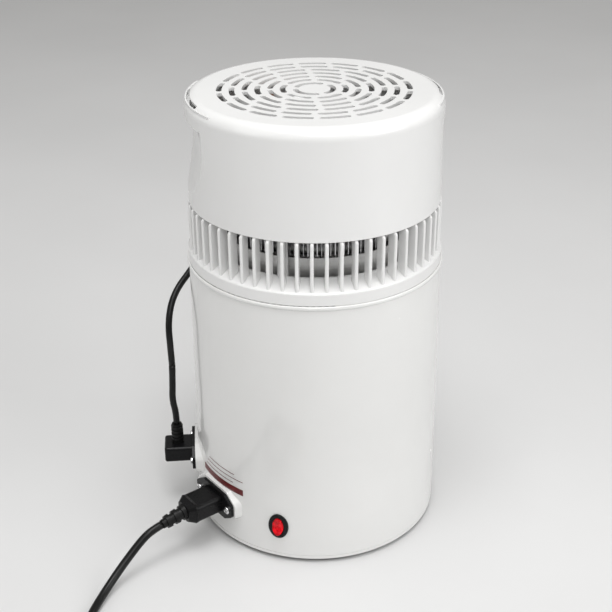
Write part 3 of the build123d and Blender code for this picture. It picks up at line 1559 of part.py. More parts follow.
# Strain relief that droops a little, cut flat where it meets the connector
connector_rear = inlet_plane.offset(grip_end)
relief_sink = relief_rear_radius * math.sin(math.radians(relief_droop))
relief_plane = tipped_down(connector_rear, relief_droop).offset(-relief_sink)
with BuildPart() as connector_relief:
    with Locations(relief_plane):
        add(ribbed_relief(relief_rear_radius, relief_end_radius, relief_length))
    split(bisect_by=connector_rear, keep=Keep.TOP)
connector_relief.part.label = "connector_relief"
export_step(connector_relief.part, "parts/connector_relief.step")

# Mains cord from the relief down to the surface and away
cord_start = relief_plane.offset(relief_length).origin
cord_first = relief_plane.offset(relief_length + cord_straight).origin
print(f"mains cord starts at {cord_start}")
coil_entry = Vector(coil_centre_x + cord_coil_outer, coil_centre_y - cord_lead_in, cord_coil_floor)
mains_route = [
    cord_start,
    cord_first,
    (152.4, 81.1, 29.1),
    (163.0, 88.7, 21.0),
    (174.8, 99.0, 12.0),
    (185.0, 112.0, 6.0),
    (192.4, 125.4, 4.0),
    (198.0, 140.0, 3.5),
    (202.3, 157.0, 3.7),
    coil_entry - Vector(0, cord_last_run, 0),
    coil_entry,
]
mains_route = [tuple(point) for point in mains_route]
mains_cord_run = cord_tube(mains_route, mains_cord_radius, "mains_cord_run")
mains_cord_run.label = "mains_cord_run"
export_step(mains_cord_run, "parts/mains_cord_run.step")


def cord_coil_point(turn):
    """Centre of the put-away cord after some turns: in on the lower layer, out on the upper."""
    reverse = cord_coil_turns / 2
    radius = cord_coil_outer - cord_coil_pitch * (reverse - abs(turn - reverse))
    climb = min(max((turn - reverse) / cord_climb_turn + 0.5, 0), 1)
    angle = 2 * math.pi * turn
    return Vector(
        coil_centre_x + radius * math.cos(angle),
        coil_centre_y + radius * math.sin(angle),
        cord_coil_floor + cord_layer_rise * climb,
    )


def cord_coil_tangent(turn):
    """Direction of the cord there."""
    step = 0.01
    return (cord_coil_point(turn + step) - cord_coil_point(turn - step)).normalized()


quarter_turns = round(4 * cord_coil_turns)
turns = [cord_coil_turns * i / quarter_turns for i in range(quarter_turns + 1)]
coil_tangents = [cord_coil_tangent(turn) for turn in turns]
coil_tangents[0] = Vector(0, 1, 0)
coil_tangents[-1] = Vector(-1, 0, 0)
coil_exit = cord_coil_point(cord_coil_turns)
plug_cord_end = coil_exit - Vector(cord_lead_out, 0, 0)
with BuildPart() as mains_cord_coil:
    with BuildLine() as cord_coil_line:
        Line(coil_entry, cord_coil_point(0))
        for i in range(quarter_turns):
            biarc(
                cord_coil_point(turns[i]),
                coil_tangents[i],
                cord_coil_point(turns[i + 1]),
                coil_tangents[i + 1],
            )
        Line(coil_exit, plug_cord_end)
    cord_coil_path = cord_coil_line.wire()
    with BuildSketch(Plane(origin=cord_coil_path @ 0, z_dir=cord_coil_path % 0)):
        Circle(mains_cord_radius)
    sweep(path=cord_coil_path)
coil_share = mains_cord_coil.part.volume / (math.pi * mains_cord_radius**2 * cord_coil_path.length)
print(f"mains_cord_coil: length {cord_coil_path.length:.1f}, volume share {coil_share:.4f}")
print(f"mains_cord_coil: least gap {least_gap(cord_coil_path, mains_cord_radius, 500):.2f}")
mains_cord_coil.part.label = "mains_cord_coil"
export_step(mains_cord_coil.part, "parts/mains_cord_coil.step")

# Tie round one side of the coil
tie_turn = tie_angle / 360
inner_turn = math.floor(cord_coil_turns / 2 - tie_turn) + tie_turn
inner_turn_radius = cord_coil_outer - cord_coil_pitch * inner_turn
outer_turn_radius = cord_coil_outer - cord_coil_pitch * (cord_coil_turns % 1 + 1 - tie_turn)
tie_low = inner_turn_radius - mains_cord_radius - tie_gap
tie_high = outer_turn_radius + mains_cord_radius + tie_gap
tie_height = 2 * mains_cord_radius + cord_layer_rise + 2 * tie_gap
tie_direction = at_angle(1, tie_angle, 0)
tie_plane = Plane(
    origin=(coil_centre_x, coil_centre_y, cord_coil_floor + cord_layer_rise / 2),
    x_dir=tie_direction,
    z_dir=at_angle(1, tie_angle - 90, 0),
)
with BuildPart() as cord_tie:
    with BuildSketch(tie_plane):
        with Locations(((tie_low + tie_high) / 2, 0)):
            RectangleRounded(
                tie_high - tie_low + 2 * tie_thickness, tie_height + 2 * tie_thickness, mains_cord_radius
            )
            RectangleRounded(
                tie_high - tie_low, tie_height, mains_cord_radius - tie_thickness, mode=Mode.SUBTRACT
            )
    extrude(amount=tie_width / 2, both=True)
cord_tie.part.label = "cord_tie"
export_step(cord_tie.part, "parts/cord_tie.step")

# Three-pin wall plug beside the coil
plug_plane = Plane(origin=plug_cord_end, x_dir=(0, -1, 0), z_dir=(-1, 0, 0))
wall_plug_height = 2 * (plug_cord_end.Z - body_gap)
with BuildPart() as mains_plug:
    with Locations(plug_plane.offset(relief_length)):
        add(ribbed_relief(relief_rear_radius, relief_end_radius, relief_length).rotate(Axis.X, 180))
    with BuildSketch(plug_plane.offset(relief_length)):
        RectangleRounded(2 * relief_rear_radius, 2 * relief_rear_radius, recess_corner)
    with BuildSketch(plug_plane.offset(relief_length + wall_plug_length / 2)):
        RectangleRounded(wall_plug_width, wall_plug_height, recess_corner)
    loft()
    with BuildSketch(plug_plane.offset(relief_length + wall_plug_length / 2)):
        RectangleRounded(wall_plug_width, wall_plug_height, recess_corner)
    extrude(amount=wall_plug_length / 2)
mains_plug.part.label = "mains_plug"
export_step(mains_plug.part, "parts/mains_plug.step")

plug_face = plug_plane.offset(relief_length + wall_plug_length)
blade_places = [(side * blade_pin_spacing / 2, -earth_pin_offset / 2) for side in (-1, 1)]
with BuildPart() as mains_plug_pins:
    with BuildSketch(plug_face):
        with Locations(*blade_places):
            Rectangle(blade_pin_thickness, blade_pin_width)
        with Locations((0, earth_pin_offset / 2 + earth_pin_radius)):
            Circle(earth_pin_radius)
    extrude(amount=blade_pin_length)
mains_plug_pins.part.label = "mains_plug_pins"
export_step(mains_plug_pins.part, "parts/mains_plug_pins.step")

# Angled plug of the fan lead in the outlet
fan_plug_face = flange_thickness + body_gap
with BuildPart() as fan_plug:
    with BuildSketch(outlet_plane.offset(fan_plug_face)):
        RectangleRounded(fan_plug_width, fan_plug_height, fan_plug_corner)
    extrude(amount=fan_plug_length)
    fan_plug_axis = Axis(outlet_plane.origin, outlet_plane.z_dir)
    fillet(fan_plug.edges().sort_by(fan_plug_axis)[-8:], fan_plug_round)
fan_plug.part.label = "fan_plug"
export_step(fan_plug.part, "parts/fan_plug.step")

with BuildPart() as fan_plug_pins:
    with BuildSketch(outlet_plane.offset(fan_plug_face)):
        with Locations(*contact_places):
            Circle(fan_pin_radius)
    extrude(amount=-fan_pin_length)
fan_plug_pins.part.label = "fan_plug_pins"
export_step(fan_plug_pins.part, "parts/fan_plug_pins.step")

fan_relief_radius = pad_radius + fan_plug_face + fan_relief_out
fan_relief_bottom = outlet_height + fan_plug_height / 2
fan_relief_size = (fan_relief_base, fan_relief_tip, fan_relief_length)
with BuildPart() as fan_plug_relief:
    with Locations(at_angle(fan_relief_radius, outlet_angle, fan_relief_bottom)):
        add(ribbed_relief(*fan_relief_size, fan_relief_ribs, fan_relief_groove))
fan_plug_relief.part.label = "fan_plug_relief"
export_step(fan_plug_relief.part, "parts/fan_plug_relief.step")

# Elbow gland in the head's band, with its nose turned down
gland_plane = side_plane(band_radius, gland_angle, gland_height)
gland_elbow = at_angle(band_radius + gland_reach, gland_angle, gland_height)
with BuildPart() as fan_lead_gland:
    with BuildSketch(gland_plane):
        Circle(gland_radius)
    extrude(amount=-casing_wall)
    with BuildSketch(gland_plane):
        Circle(gland_flange)
    extrude(amount=gland_flange_thickness)
    with BuildSketch(gland_plane):
        Circle(gland_radius)
    extrude(amount=gland_reach)
    with Locations(gland_elbow):
        Sphere(gland_radius)
        Cone(
            fan_lead_radius + rim_round / 2,
            gland_radius,
            gland_drop,
            align=(Align.CENTER, Align.CENTER, Align.MAX),
        )
fan_lead_gland.part.label = "fan_lead_gland"
export_step(fan_lead_gland.part, "parts/fan_lead_gland.step")

# Fan lead: lower half with the plug, upper half with the head, parted at the middle
lead_start = at_angle(fan_relief_radius, outlet_angle, fan_relief_bottom + fan_relief_length)
lead_split = at_angle(118.6, -6.6, 129.0)
lead_split_top = lead_split + Vector(0, 0, body_gap)
lead_end = gland_elbow - Vector(0, 0, gland_drop)
lower_route = [
    lead_start,
    lead_start + Vector(0, 0, lead_straight),
    at_angle(120.2, -5.0, 97.0),
    at_angle(119.2, -6.0, 112.0),
    lead_split,
]
upper_route = [
    lead_split_top,
    at_angle(119.2, -7.6, 147.5),
    at_angle(120.0, -9.3, 163.5),
    at_angle(118.6, -14.0, 177.5),
    at_angle(115.0, -20.0, 187.0),
    at_angle(110.4, -26.5, 193.7),
    at_angle(108.2, -32.5, 199.5),
    at_angle(107.0, -38.2, 207.5),
    lead_end - Vector(0, 0, lead_straight),
    lead_end,
]
fan_lead_lower = cord_tube([tuple(p) for p in lower_route], fan_lead_radius, "fan_lead_lower")
fan_lead_lower.label = "fan_lead_lower"
export_step(fan_lead_lower, "parts/fan_lead_lower.step")
fan_lead_upper = cord_tube([tuple(p) for p in upper_route], fan_lead_radius, "fan_lead_upper")
fan_lead_upper.label = "fan_lead_upper"
export_step(fan_lead_upper, "parts/fan_lead_upper.step")

# Motor lead inside the head, from the gland up to the winding
winding_outer = motor_reach + winding_depth
motor_lead_route = [
    at_angle(band_radius - casing_wall, gland_angle, gland_height),
    at_angle(motor_lead_circle, gland_angle, gland_height),
    at_angle(motor_lead_circle, gland_angle, winding_level.origin.Z),
    at_angle(winding_outer, gland_angle, winding_level.origin.Z),
]
with BuildPart() as motor_lead:
    with BuildLine() as motor_lead_line:
        FilletPolyline(*[tuple(p) for p in motor_lead_route], radius=motor_lead_bend)
    motor_lead_path = motor_lead_line.wire()
    with BuildSketch(Plane(origin=motor_lead_path @ 0, z_dir=motor_lead_path % 0)):
        Circle(motor_lead_radius)
    sweep(path=motor_lead_path)
motor_lead.part.label = "motor_lead"
export_step(motor_lead.part, "parts/motor_lead.step")
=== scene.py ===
"""Looks of the countertop water distiller.

Finishes for the CAD pieces, the two leads, the casing's print and rolled edge, floor and light.
"""

import json
import math

import bpy
from mathutils import Matrix, Vector


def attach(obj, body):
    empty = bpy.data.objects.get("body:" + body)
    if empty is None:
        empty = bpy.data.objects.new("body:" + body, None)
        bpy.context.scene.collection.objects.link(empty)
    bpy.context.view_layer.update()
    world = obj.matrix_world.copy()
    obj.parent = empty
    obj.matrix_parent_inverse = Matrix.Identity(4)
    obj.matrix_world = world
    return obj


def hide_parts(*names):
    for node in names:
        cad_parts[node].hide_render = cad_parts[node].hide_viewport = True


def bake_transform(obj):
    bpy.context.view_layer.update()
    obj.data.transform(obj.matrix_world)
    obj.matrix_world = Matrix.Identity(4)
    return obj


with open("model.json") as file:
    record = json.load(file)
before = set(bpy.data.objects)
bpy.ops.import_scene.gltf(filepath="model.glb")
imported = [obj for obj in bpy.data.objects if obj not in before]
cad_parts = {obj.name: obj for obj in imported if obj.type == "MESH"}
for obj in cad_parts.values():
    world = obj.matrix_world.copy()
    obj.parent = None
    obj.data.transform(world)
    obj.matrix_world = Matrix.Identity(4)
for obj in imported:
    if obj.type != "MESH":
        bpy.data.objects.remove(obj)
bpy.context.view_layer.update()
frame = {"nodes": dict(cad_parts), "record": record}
nodes = frame["nodes"]
bpy.ops.object.select_all(action="DESELECT")


def around(radius, angle, height):
    """Point about the body's axis, from millimetres and degrees to metres."""
    turn = math.radians(angle)
    return Vector((radius * math.cos(turn), radius * math.sin(turn), height)) / 1000


# Camera at the photograph's place
camera_place = (0.13805, 0.78292, 0.591)
camera_ahead = Vector((-0.14615, -0.87619, -0.45927))
camera_up = Vector((-0.08296, -0.45176, 0.88827))
camera_lens = 64.94
camera_sensor = 36
bpy.ops.object.camera_add(location=camera_place)
camera = bpy.context.object
camera.name = "photo_camera"
turned = Matrix((camera_ahead.cross(camera_up), camera_up, -camera_ahead)).transposed()
camera.matrix_world = Matrix.Translation(camera.location) @ turned.to_4x4()
camera.data.lens = camera_lens
camera.data.sensor_width = camera_sensor
bpy.context.scene.camera = camera


# Leads
lead_smoothness = 6
merge_gap = 0.00001


def lead_curve(name, points, radius):
    """Round cord on one smooth spline whose control points are the route's points."""
    line = bpy.data.curves.new(name, "CURVE")
    line.dimensions = "3D"
    line.bevel_depth = radius
    line.bevel_resolution = lead_smoothness
    line.resolution_u = lead_smoothness
    line.use_fill_caps = True
    spline = line.splines.new("NURBS")
    spline.points.add(len(points) - 1)
    for knot, place in zip(spline.points, points):
        knot.co = (*place, 1)
    spline.order_u = 3
    spline.use_endpoint_u = True
    lead = bpy.data.objects.new(name, line)
    bpy.context.scene.collection.objects.link(lead)
    return lead


def spline_points(lead):
    """Points along a lead's smooth line, read from the curve with no bevel."""
    bevel = lead.data.bevel_depth
    lead.data.bevel_depth = 0
    bpy.context.view_layer.update()
    shaped = lead.evaluated_get(bpy.context.evaluated_depsgraph_get())
    line = bpy.data.meshes.new_from_object(shaped)
    places = [vertex.co.copy() for vertex in line.vertices]
    bpy.data.meshes.remove(line)
    lead.data.bevel_depth = bevel
    return places


def lead_mesh(lead):
    """Turn a lead's curve into a mesh tube and close its ends."""
    bpy.ops.object.select_all(action="DESELECT")
    lead.select_set(True)
    bpy.context.view_layer.objects.active = lead
    bpy.ops.object.convert(target="MESH")
    tube = bpy.context.object
    bpy.ops.object.mode_set(mode="EDIT")
    bpy.ops.mesh.select_all(action="SELECT")
    bpy.ops.mesh.remove_doubles(threshold=merge_gap)
    bpy.ops.mesh.normals_make_consistent(inside=False)
    bpy.ops.object.mode_set(mode="OBJECT")
    bpy.ops.object.shade_smooth()
    tube.select_set(False)
    return tube


mains_radius = 0.00325
coil_middle = Vector((0.160, 0.199))
coil_outer_radius = 0.0444
coil_spacing = 0.0071
coil_floor = 0.00465
coil_turns = 4.25
climb_turns = 0.5
points_per_turn = 24
coil_leave = Vector((0.0075, 0.0002, 0))
plug_entry = (0.145, 0.243)


def mains_coil_point(turn):
    """The put-away length: in on the lower layer, out on the upper."""
    reverse = coil_turns / 2
    radius = coil_outer_radius - coil_spacing * (reverse - abs(turn - reverse))
    climb = min(max((turn - reverse) / climb_turns + 0.5, 0), 1)
    angle = 2 * math.pi * turn
    return (
        coil_middle.x + radius * math.cos(angle),
        coil_middle.y + radius * math.sin(angle),
        coil_floor + coil_spacing * climb,
    )


mains_points = [
    Vector((0.13693, 0.07281, 0.03414)),
    (0.14480, 0.07699, 0.03288),
    (0.1524, 0.0811, 0.0291),
    (0.1630, 0.0887, 0.0210),
    (0.1748, 0.0990, 0.0120),
    (0.1850, 0.1120, 0.0060),
    (0.1924, 0.1254, 0.0040),
    (0.1980, 0.1400, 0.0035),
    (0.2023, 0.1570, 0.0037),
    (0.2040, 0.1750, 0.00465),
    (0.2043, 0.1890, 0.00465),
]
coil_steps = round(coil_turns * points_per_turn)
mains_points += [
    mains_coil_point(coil_turns * step / coil_steps) for step in range(coil_steps + 1)
]
coil_end = Vector(mains_coil_point(coil_turns))
mains_points += [coil_end - coil_leave, (*plug_entry, coil_end.z)]
mains_route = lead_curve("mains_lead_cord", mains_points, mains_radius)
mains_line = spline_points(mains_route)
mains_lead = lead_mesh(mains_route)
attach(mains_lead, "mains_lead")
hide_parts("mains_cord_run", "mains_cord_coil")

fan_lead_radius = 0.00275
lead_split = around(118.6, -6.6, 129.0)
plug_relief_top = around(117.9, -4.5, 74.6)
gland_angle = -42
gland_mouth = around(106.5, gland_angle, 228.3)
straight_end = Vector((0, 0, 0.011))
lower_points = [
    plug_relief_top,
    plug_relief_top + straight_end,
    around(120.2, -5.0, 97.0),
    around(119.2, -6.0, 112.0),
    lead_split,
]
upper_points = [
    lead_split,
    around(119.2, -7.6, 147.5),
    around(120.0, -9.3, 163.5),
    around(118.6, -14.0, 177.5),
    around(115.0, -20.0, 187.0),
    around(110.4, -26.5, 193.7),
    around(108.2, -32.5, 199.5),
    around(107.0, -38.2, 207.5),
    gland_mouth - straight_end,
    gland_mouth,
]
fan_leads = []
for name, points, node, far, leave, length in (
    ("fan_lead_lower_tube", lower_points, "fan_lead_lower", "fan_plug", plug_relief_top, 0.055),
    ("fan_lead_upper_tube", upper_points, "fan_lead_upper", "head", gland_mouth, 0.1315),
):
    route = lead_curve(name, points, fan_lead_radius)
    line = spline_points(route)
    lead = lead_mesh(route)
    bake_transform(lead)
    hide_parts(node)
    fan_leads.append(lead)


# Plain printed bar and lines above the mains inlet, with no words
casing_foot_radius = 101.5
casing_taper = 2.5
casing_lift = 3.5
casing_height = 225.5
print_sides = 360
ink_lift = 0.06
ink_thickness = 0.00008
print_edge_angle = math.radians(40)


def casing_radius(height):
    """Outside of the tapered casing, in millimetres."""
    return casing_foot_radius - casing_taper * (height - casing_lift) / casing_height


def printed_band(name, first, last, low, high):
    """Thin strip of print that follows the casing between two angles and heights."""
    middle = (low + high) / 2
    bpy.ops.object.select_all(action="DESELECT")
    bpy.ops.mesh.primitive_cylinder_add(
        vertices=print_sides,
        radius=(casing_radius(middle) + ink_lift) / 1000,
        depth=(high - low) / 1000,
        end_fill_type="NOTHING",
        location=(0, 0, middle / 1000),
    )
    band = bpy.context.object
    band.name = name
    bpy.ops.object.transform_apply(location=True, rotation=True, scale=True)
    bpy.ops.object.mode_set(mode="EDIT")
    bpy.ops.mesh.select_all(action="DESELECT")
    bpy.ops.object.mode_set(mode="OBJECT")
    for face in band.data.polygons:
        angle = math.degrees(math.atan2(face.center.y, face.center.x))
        face.select = not first <= angle <= last
    bpy.ops.object.mode_set(mode="EDIT")
    bpy.ops.mesh.delete(type="FACE")
    bpy.ops.object.mode_set(mode="OBJECT")
    thick = band.modifiers.new("ink", "SOLIDIFY")
    thick.thickness = ink_thickness
    thick.offset = 1
    bpy.ops.object.modifier_apply(modifier=thick.name)
    bpy.ops.object.shade_smooth_by_angle(angle=print_edge_angle)
    return band


print_strips = [
    printed_band("print_bar", 15.5, 45.3, 51.9, 57.6),
    printed_band("print_line_low", 18.5, 38.7, 60.6, 61.1),
    printed_band("print_line_middle", 19.5, 45.4, 64.7, 65.2),
    printed_band("print_line_top", 20.8, 39.8, 68.8, 69.3),
]
bpy.ops.object.select_all(action="DESELECT")
for strip in print_strips:
    strip.select_set(True)
bpy.context.view_layer.objects.active = print_strips[0]
bpy.ops.object.join()
printed_bar = bpy.context.object
printed_bar.name = "printed_bar"
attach(printed_bar, "base")

# Rolled top edge of the casing, a bright line under the head, with a dip under the lead's gland
rolled_edge_middle = Vector((0.0993, 0, 0.2286))
rolled_edge_depth = 0.00095
rolled_edge_rise = 0.0016
rolled_edge_sides = 20
rolled_edge_steps = 180
dip_half_angle = 5
dip_height = 0.2294
bpy.ops.object.select_all(action="DESELECT")
bpy.ops.mesh.primitive_circle_add(
    vertices=rolled_edge_sides,
    radius=rolled_edge_depth,
    location=rolled_edge_middle,
    rotation=(math.pi / 2, 0, 0),
)
rolled_edge = bpy.context.object
rolled_edge.name = "rolled_edge"
bpy.ops.object.transform_apply(location=True, rotation=True, scale=True)
bpy.ops.object.mode_set(mode="EDIT")
bpy.ops.mesh.select_all(action="SELECT")
bpy.ops.transform.resize(
    value=(1, 1, rolled_edge_rise / rolled_edge_depth), center_override=rolled_edge_middle
)
bpy.ops.mesh.spin(steps=rolled_edge_steps, angle=2 * math.pi, center=(0, 0, 0), axis=(0, 0, 1))
bpy.ops.mesh.select_all(action="SELECT")
bpy.ops.mesh.remove_doubles(threshold=merge_gap)
bpy.ops.mesh.normals_make_consistent(inside=False)
bpy.ops.mesh.select_all(action="DESELECT")
bpy.ops.object.mode_set(mode="OBJECT")
for vertex in rolled_edge.data.vertices:
    angle = math.degrees(math.atan2(vertex.co.y, vertex.co.x))
    vertex.select = abs(angle - gland_angle) < dip_half_angle and vertex.co.z > dip_height
bpy.ops.object.mode_set(mode="EDIT")
bpy.ops.transform.resize(value=(1, 1, 0), center_override=(0, 0, dip_height))
bpy.ops.object.mode_set(mode="OBJECT")
bpy.ops.object.shade_smooth()
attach(rolled_edge, "base")


# Finishes
def start_finish(name, roughness, metallic=0.0, coat=0.0, coat_roughness=0.1):
    """New material with its shader set where the value is the same all over."""
    made = bpy.data.materials.new(name)
    made.use_nodes = True
    tree = made.node_tree
    shader = tree.nodes["Principled BSDF"]
    shader.inputs["Roughness"].default_value = roughness
    shader.inputs["Metallic"].default_value = metallic
    shader.inputs["Coat Weight"].default_value = coat
    shader.inputs["Coat Roughness"].default_value = coat_roughness
    return made, tree, shader


def place_pattern(tree, scale, turn=(0, 0, 0)):
    """Object coordinates, stretched and turned for a pattern."""
    coords = tree.nodes.new("ShaderNodeTexCoord")
    mapping = tree.nodes.new("ShaderNodeMapping")
    mapping.inputs["Scale"].default_value = scale
    mapping.inputs["Rotation"].default_value = turn
    tree.links.new(coords.outputs["Object"], mapping.inputs["Vector"])
    return mapping.outputs["Vector"]


def cloudy(tree, vector, scale, detail=4.0, roughness=0.5):
    """Soft noise along a vector, for a pattern that is stretched or goes in rings."""
    noise = tree.nodes.new("ShaderNodeTexNoise")
    noise.inputs["Scale"].default_value = scale
    noise.inputs["Detail"].default_value = detail
    noise.inputs["Roughness"].default_value = roughness
    tree.links.new(vector, noise.inputs["Vector"])
    return noise.outputs["Fac"]


def even_cloud(tree, scale, detail=4.0, roughness=0.5):
    """Soft noise of the same size in all directions."""
    return cloudy(tree, place_pattern(tree, (1, 1, 1)), scale, detail, roughness)


def tint(tree, shader, value, low, high, start=0.3, stop=0.7):
    """Base colour that drifts between two close tones."""
    ramp = tree.nodes.new("ShaderNodeValToRGB")
    ramp.color_ramp.elements[0].position = start
    ramp.color_ramp.elements[1].position = stop
    ramp.color_ramp.elements[0].color = (*low, 1)
    ramp.color_ramp.elements[1].color = (*high, 1)
    tree.links.new(value, ramp.inputs["Fac"])
    tree.links.new(ramp.outputs["Color"], shader.inputs["Base Color"])


def polish(tree, shader, value, low, high):
    """Roughness that drifts between two values."""
    spread = tree.nodes.new("ShaderNodeMapRange")
    spread.inputs["To Min"].default_value = low
    spread.inputs["To Max"].default_value = high
    tree.links.new(value, spread.inputs["Value"])
    tree.links.new(spread.outputs["Result"], shader.inputs["Roughness"])


def relief(tree, shader, value, strength, height):
    """Small bumps on the surface, of a height in metres."""
    bump = tree.nodes.new("ShaderNodeBump")
    bump.inputs["Strength"].default_value = strength
    bump.inputs["Distance"].default_value = height
    tree.links.new(value, bump.inputs["Height"])
    tree.links.new(bump.outputs["Normal"], shader.inputs["Normal"])


def ring_coords(tree, radial, upright):
    """Coordinates that stay the same round the axis, for drawn or turned marks."""
    coords = tree.nodes.new("ShaderNodeTexCoord")
    split = tree.nodes.new("ShaderNodeSeparateXYZ")
    tree.links.new(coords.outputs["Object"], split.inputs["Vector"])
    flat = tree.nodes.new("ShaderNodeCombineXYZ")
    tree.links.new(split.outputs["X"], flat.inputs["X"])
    tree.links.new(split.outputs["Y"], flat.inputs["Y"])
    length = tree.nodes.new("ShaderNodeVectorMath")
    length.operation = "LENGTH"
    tree.links.new(flat.outputs["Vector"], length.inputs[0])
    rings = tree.nodes.new("ShaderNodeCombineXYZ")
    for socket, source, scale in (
        ("X", length.outputs["Value"], radial),
        ("Z", split.outputs["Z"], upright),
    ):
        stretch = tree.nodes.new("ShaderNodeMath")
        stretch.operation = "MULTIPLY"
        stretch.inputs[1].default_value = scale
        tree.links.new(source, stretch.inputs[0])
        tree.links.new(stretch.outputs["Value"], rings.inputs[socket])
    return rings.outputs["Vector"]


def white_enamel():
    """Gloss white paint on steel, with a faint orange peel."""
    made, tree, shader = start_finish("white_enamel", 0.24, coat=0.6, coat_roughness=0.05)
    broad = even_cloud(tree, 9)
    tint(tree, shader, broad, (0.80, 0.80, 0.79), (0.845, 0.845, 0.835))
    polish(tree, shader, even_cloud(tree, 60), 0.2, 0.3)
    relief(tree, shader, even_cloud(tree, 420, 2), 0.12, 0.0002)
    return made


def white_plastic():
    """Gloss white moulding, a touch cooler than the paint."""
    made, tree, shader = start_finish("white_plastic", 0.22, coat=0.5, coat_roughness=0.06)
    broad = cloudy(tree, place_pattern(tree, (1, 1, 0.6)), 12)
    tint(tree, shader, broad, (0.815, 0.815, 0.81), (0.86, 0.86, 0.855))
    polish(tree, shader, even_cloud(tree, 90), 0.18, 0.28)
    relief(tree, shader, even_cloud(tree, 900, 2), 0.08, 0.0001)
    return made


def drawn_steel(name, low, high, rough, radial=900, upright=900):
    """Drawn or spun metal with fine rings round the axis."""
    made, tree, shader = start_finish(name, rough, metallic=1.0)
    rings = cloudy(tree, ring_coords(tree, radial, upright), 1.0, 6, 0.6)
    tint(tree, shader, rings, low, high)
    polish(tree, shader, rings, rough * 0.7, rough * 1.3)
    relief(tree, shader, rings, 0.15, 0.00005)
    return made


def bright_metal(name, low, high, rough, scale=220):
    """Plated or pressed metal with small scuffs."""
    made, tree, shader = start_finish(name, rough, metallic=1.0)
    scuffs = even_cloud(tree, scale, 5, 0.6)
    tint(tree, shader, scuffs, low, high)
    polish(tree, shader, scuffs, rough * 0.6, rough * 1.4)
    relief(tree, shader, even_cloud(tree, 3 * scale, 2), 0.1, 0.00004)
    return made


def black_moulding(name, low, high, rough, grain, height):
    """Black plastic or rubber with a fine moulded grain."""
    made, tree, shader = start_finish(name, rough)
    shader.inputs["Specular IOR Level"].default_value = 0.2
    tint(tree, shader, even_cloud(tree, 40), low, high)
    speck = even_cloud(tree, grain, 3)
    polish(tree, shader, speck, rough * 0.75, rough * 1.2)
    relief(tree, shader, speck, 0.25, height)
    return made


def pale_moulding():
    """Pale grey plastic of the fan, a little dusty."""
    made, tree, shader = start_finish("fan_plastic", 0.45)
    tint(tree, shader, even_cloud(tree, 45), (0.56, 0.56, 0.55), (0.64, 0.64, 0.63))
    speck = even_cloud(tree, 700, 3)
    polish(tree, shader, speck, 0.36, 0.54)
    relief(tree, shader, speck, 0.2, 0.0001)
    return made


def red_lens():
    """Red switch lens with a painted glow, and the uneven depth of moulded prisms."""
    made, tree, shader = start_finish("red_lens", 0.12)
    shader.inputs["Specular IOR Level"].default_value = 0.25
    shader.inputs["Subsurface Weight"].default_value = 0.15
    shader.inputs["Subsurface Radius"].default_value = (0.004, 0.0008, 0.0006)
    # Painted glow: the emission makes the lens shine from within, though no lamp sits behind it.
    shader.inputs["Emission Color"].default_value = (1.0, 0.004, 0.014, 1)
    shader.inputs["Emission Strength"].default_value = 0.14
    lens_cloud = even_cloud(tree, 240, 3)
    tint(tree, shader, lens_cloud, (0.34, 0.001, 0.004), (0.78, 0.005, 0.014), 0.4, 0.6)
    relief(tree, shader, even_cloud(tree, 420, 2), 0.9, 0.0007)
    return made


def layered_steel():
    """Edges of the motor's stacked sheets."""
    made, tree, shader = start_finish("lamination_steel", 0.45, metallic=0.9)
    wave = tree.nodes.new("ShaderNodeTexWave")
    wave.bands_direction = "Z"
    wave.inputs["Scale"].default_value = 320
    wave.inputs["Distortion"].default_value = 0.4
    tree.links.new(place_pattern(tree, (1, 1, 1)), wave.inputs["Vector"])
    tint(tree, shader, wave.outputs["Fac"], (0.16, 0.16, 0.17), (0.42, 0.42, 0.43))
    polish(tree, shader, even_cloud(tree, 150), 0.35, 0.55)
    relief(tree, shader, wave.outputs["Fac"], 0.4, 0.0001)
    return made


def wound_copper():
    """Enamelled wire, wound round the motor's leg."""
    made, tree, shader = start_finish("winding_copper", 0.35, metallic=0.6)
    wire_turn = (0, 0, math.radians(48))
    wave = tree.nodes.new("ShaderNodeTexWave")
    wave.bands_direction = "X"
    wave.inputs["Scale"].default_value = 420
    wave.inputs["Distortion"].default_value = 0.8
    tree.links.new(place_pattern(tree, (1, 1, 1), wire_turn), wave.inputs["Vector"])
    tint(tree, shader, wave.outputs["Fac"], (0.16, 0.05, 0.02), (0.55, 0.24, 0.10))
    polish(tree, shader, wave.outputs["Fac"], 0.25, 0.45)
    relief(tree, shader, wave.outputs["Fac"], 0.6, 0.0002)
    return made


def lead_jacket():
    """Smooth black cord jacket with a faint drag from the extruder."""
    made, tree, shader = start_finish("lead_jacket", 0.32, coat=0.05, coat_roughness=0.12)
    shader.inputs["Specular IOR Level"].default_value = 0.25
    tint(tree, shader, even_cloud(tree, 55), (0.003, 0.003, 0.003), (0.008, 0.008, 0.008))
    fine = even_cloud(tree, 700, 3)
    polish(tree, shader, fine, 0.26, 0.38)
    relief(tree, shader, fine, 0.15, 0.0001)
    return made


def soft_silicone():
    """Milky silicone rubber."""
    made, tree, shader = start_finish("silicone", 0.5)
    shader.inputs["Subsurface Weight"].default_value = 0.2
    shader.inputs["Subsurface Radius"].default_value = (0.002, 0.002, 0.002)
    tint(tree, shader, even_cloud(tree, 70), (0.66, 0.66, 0.63), (0.76, 0.76, 0.73))
    relief(tree, shader, even_cloud(tree, 600), 0.15, 0.0001)
    return made


def filter_cloth():
    """Pale filter cloth round the carbon."""
    made, tree, shader = start_finish("carbon_cloth", 0.85)
    weave = tree.nodes.new("ShaderNodeTexVoronoi")
    weave.inputs["Scale"].default_value = 900
    tree.links.new(place_pattern(tree, (1, 1, 1)), weave.inputs["Vector"])
    tint(tree, shader, weave.outputs["Distance"], (0.42, 0.42, 0.40), (0.78, 0.77, 0.73), 0.1, 0.6)
    relief(tree, shader, weave.outputs["Distance"], 0.5, 0.0003)
    return made


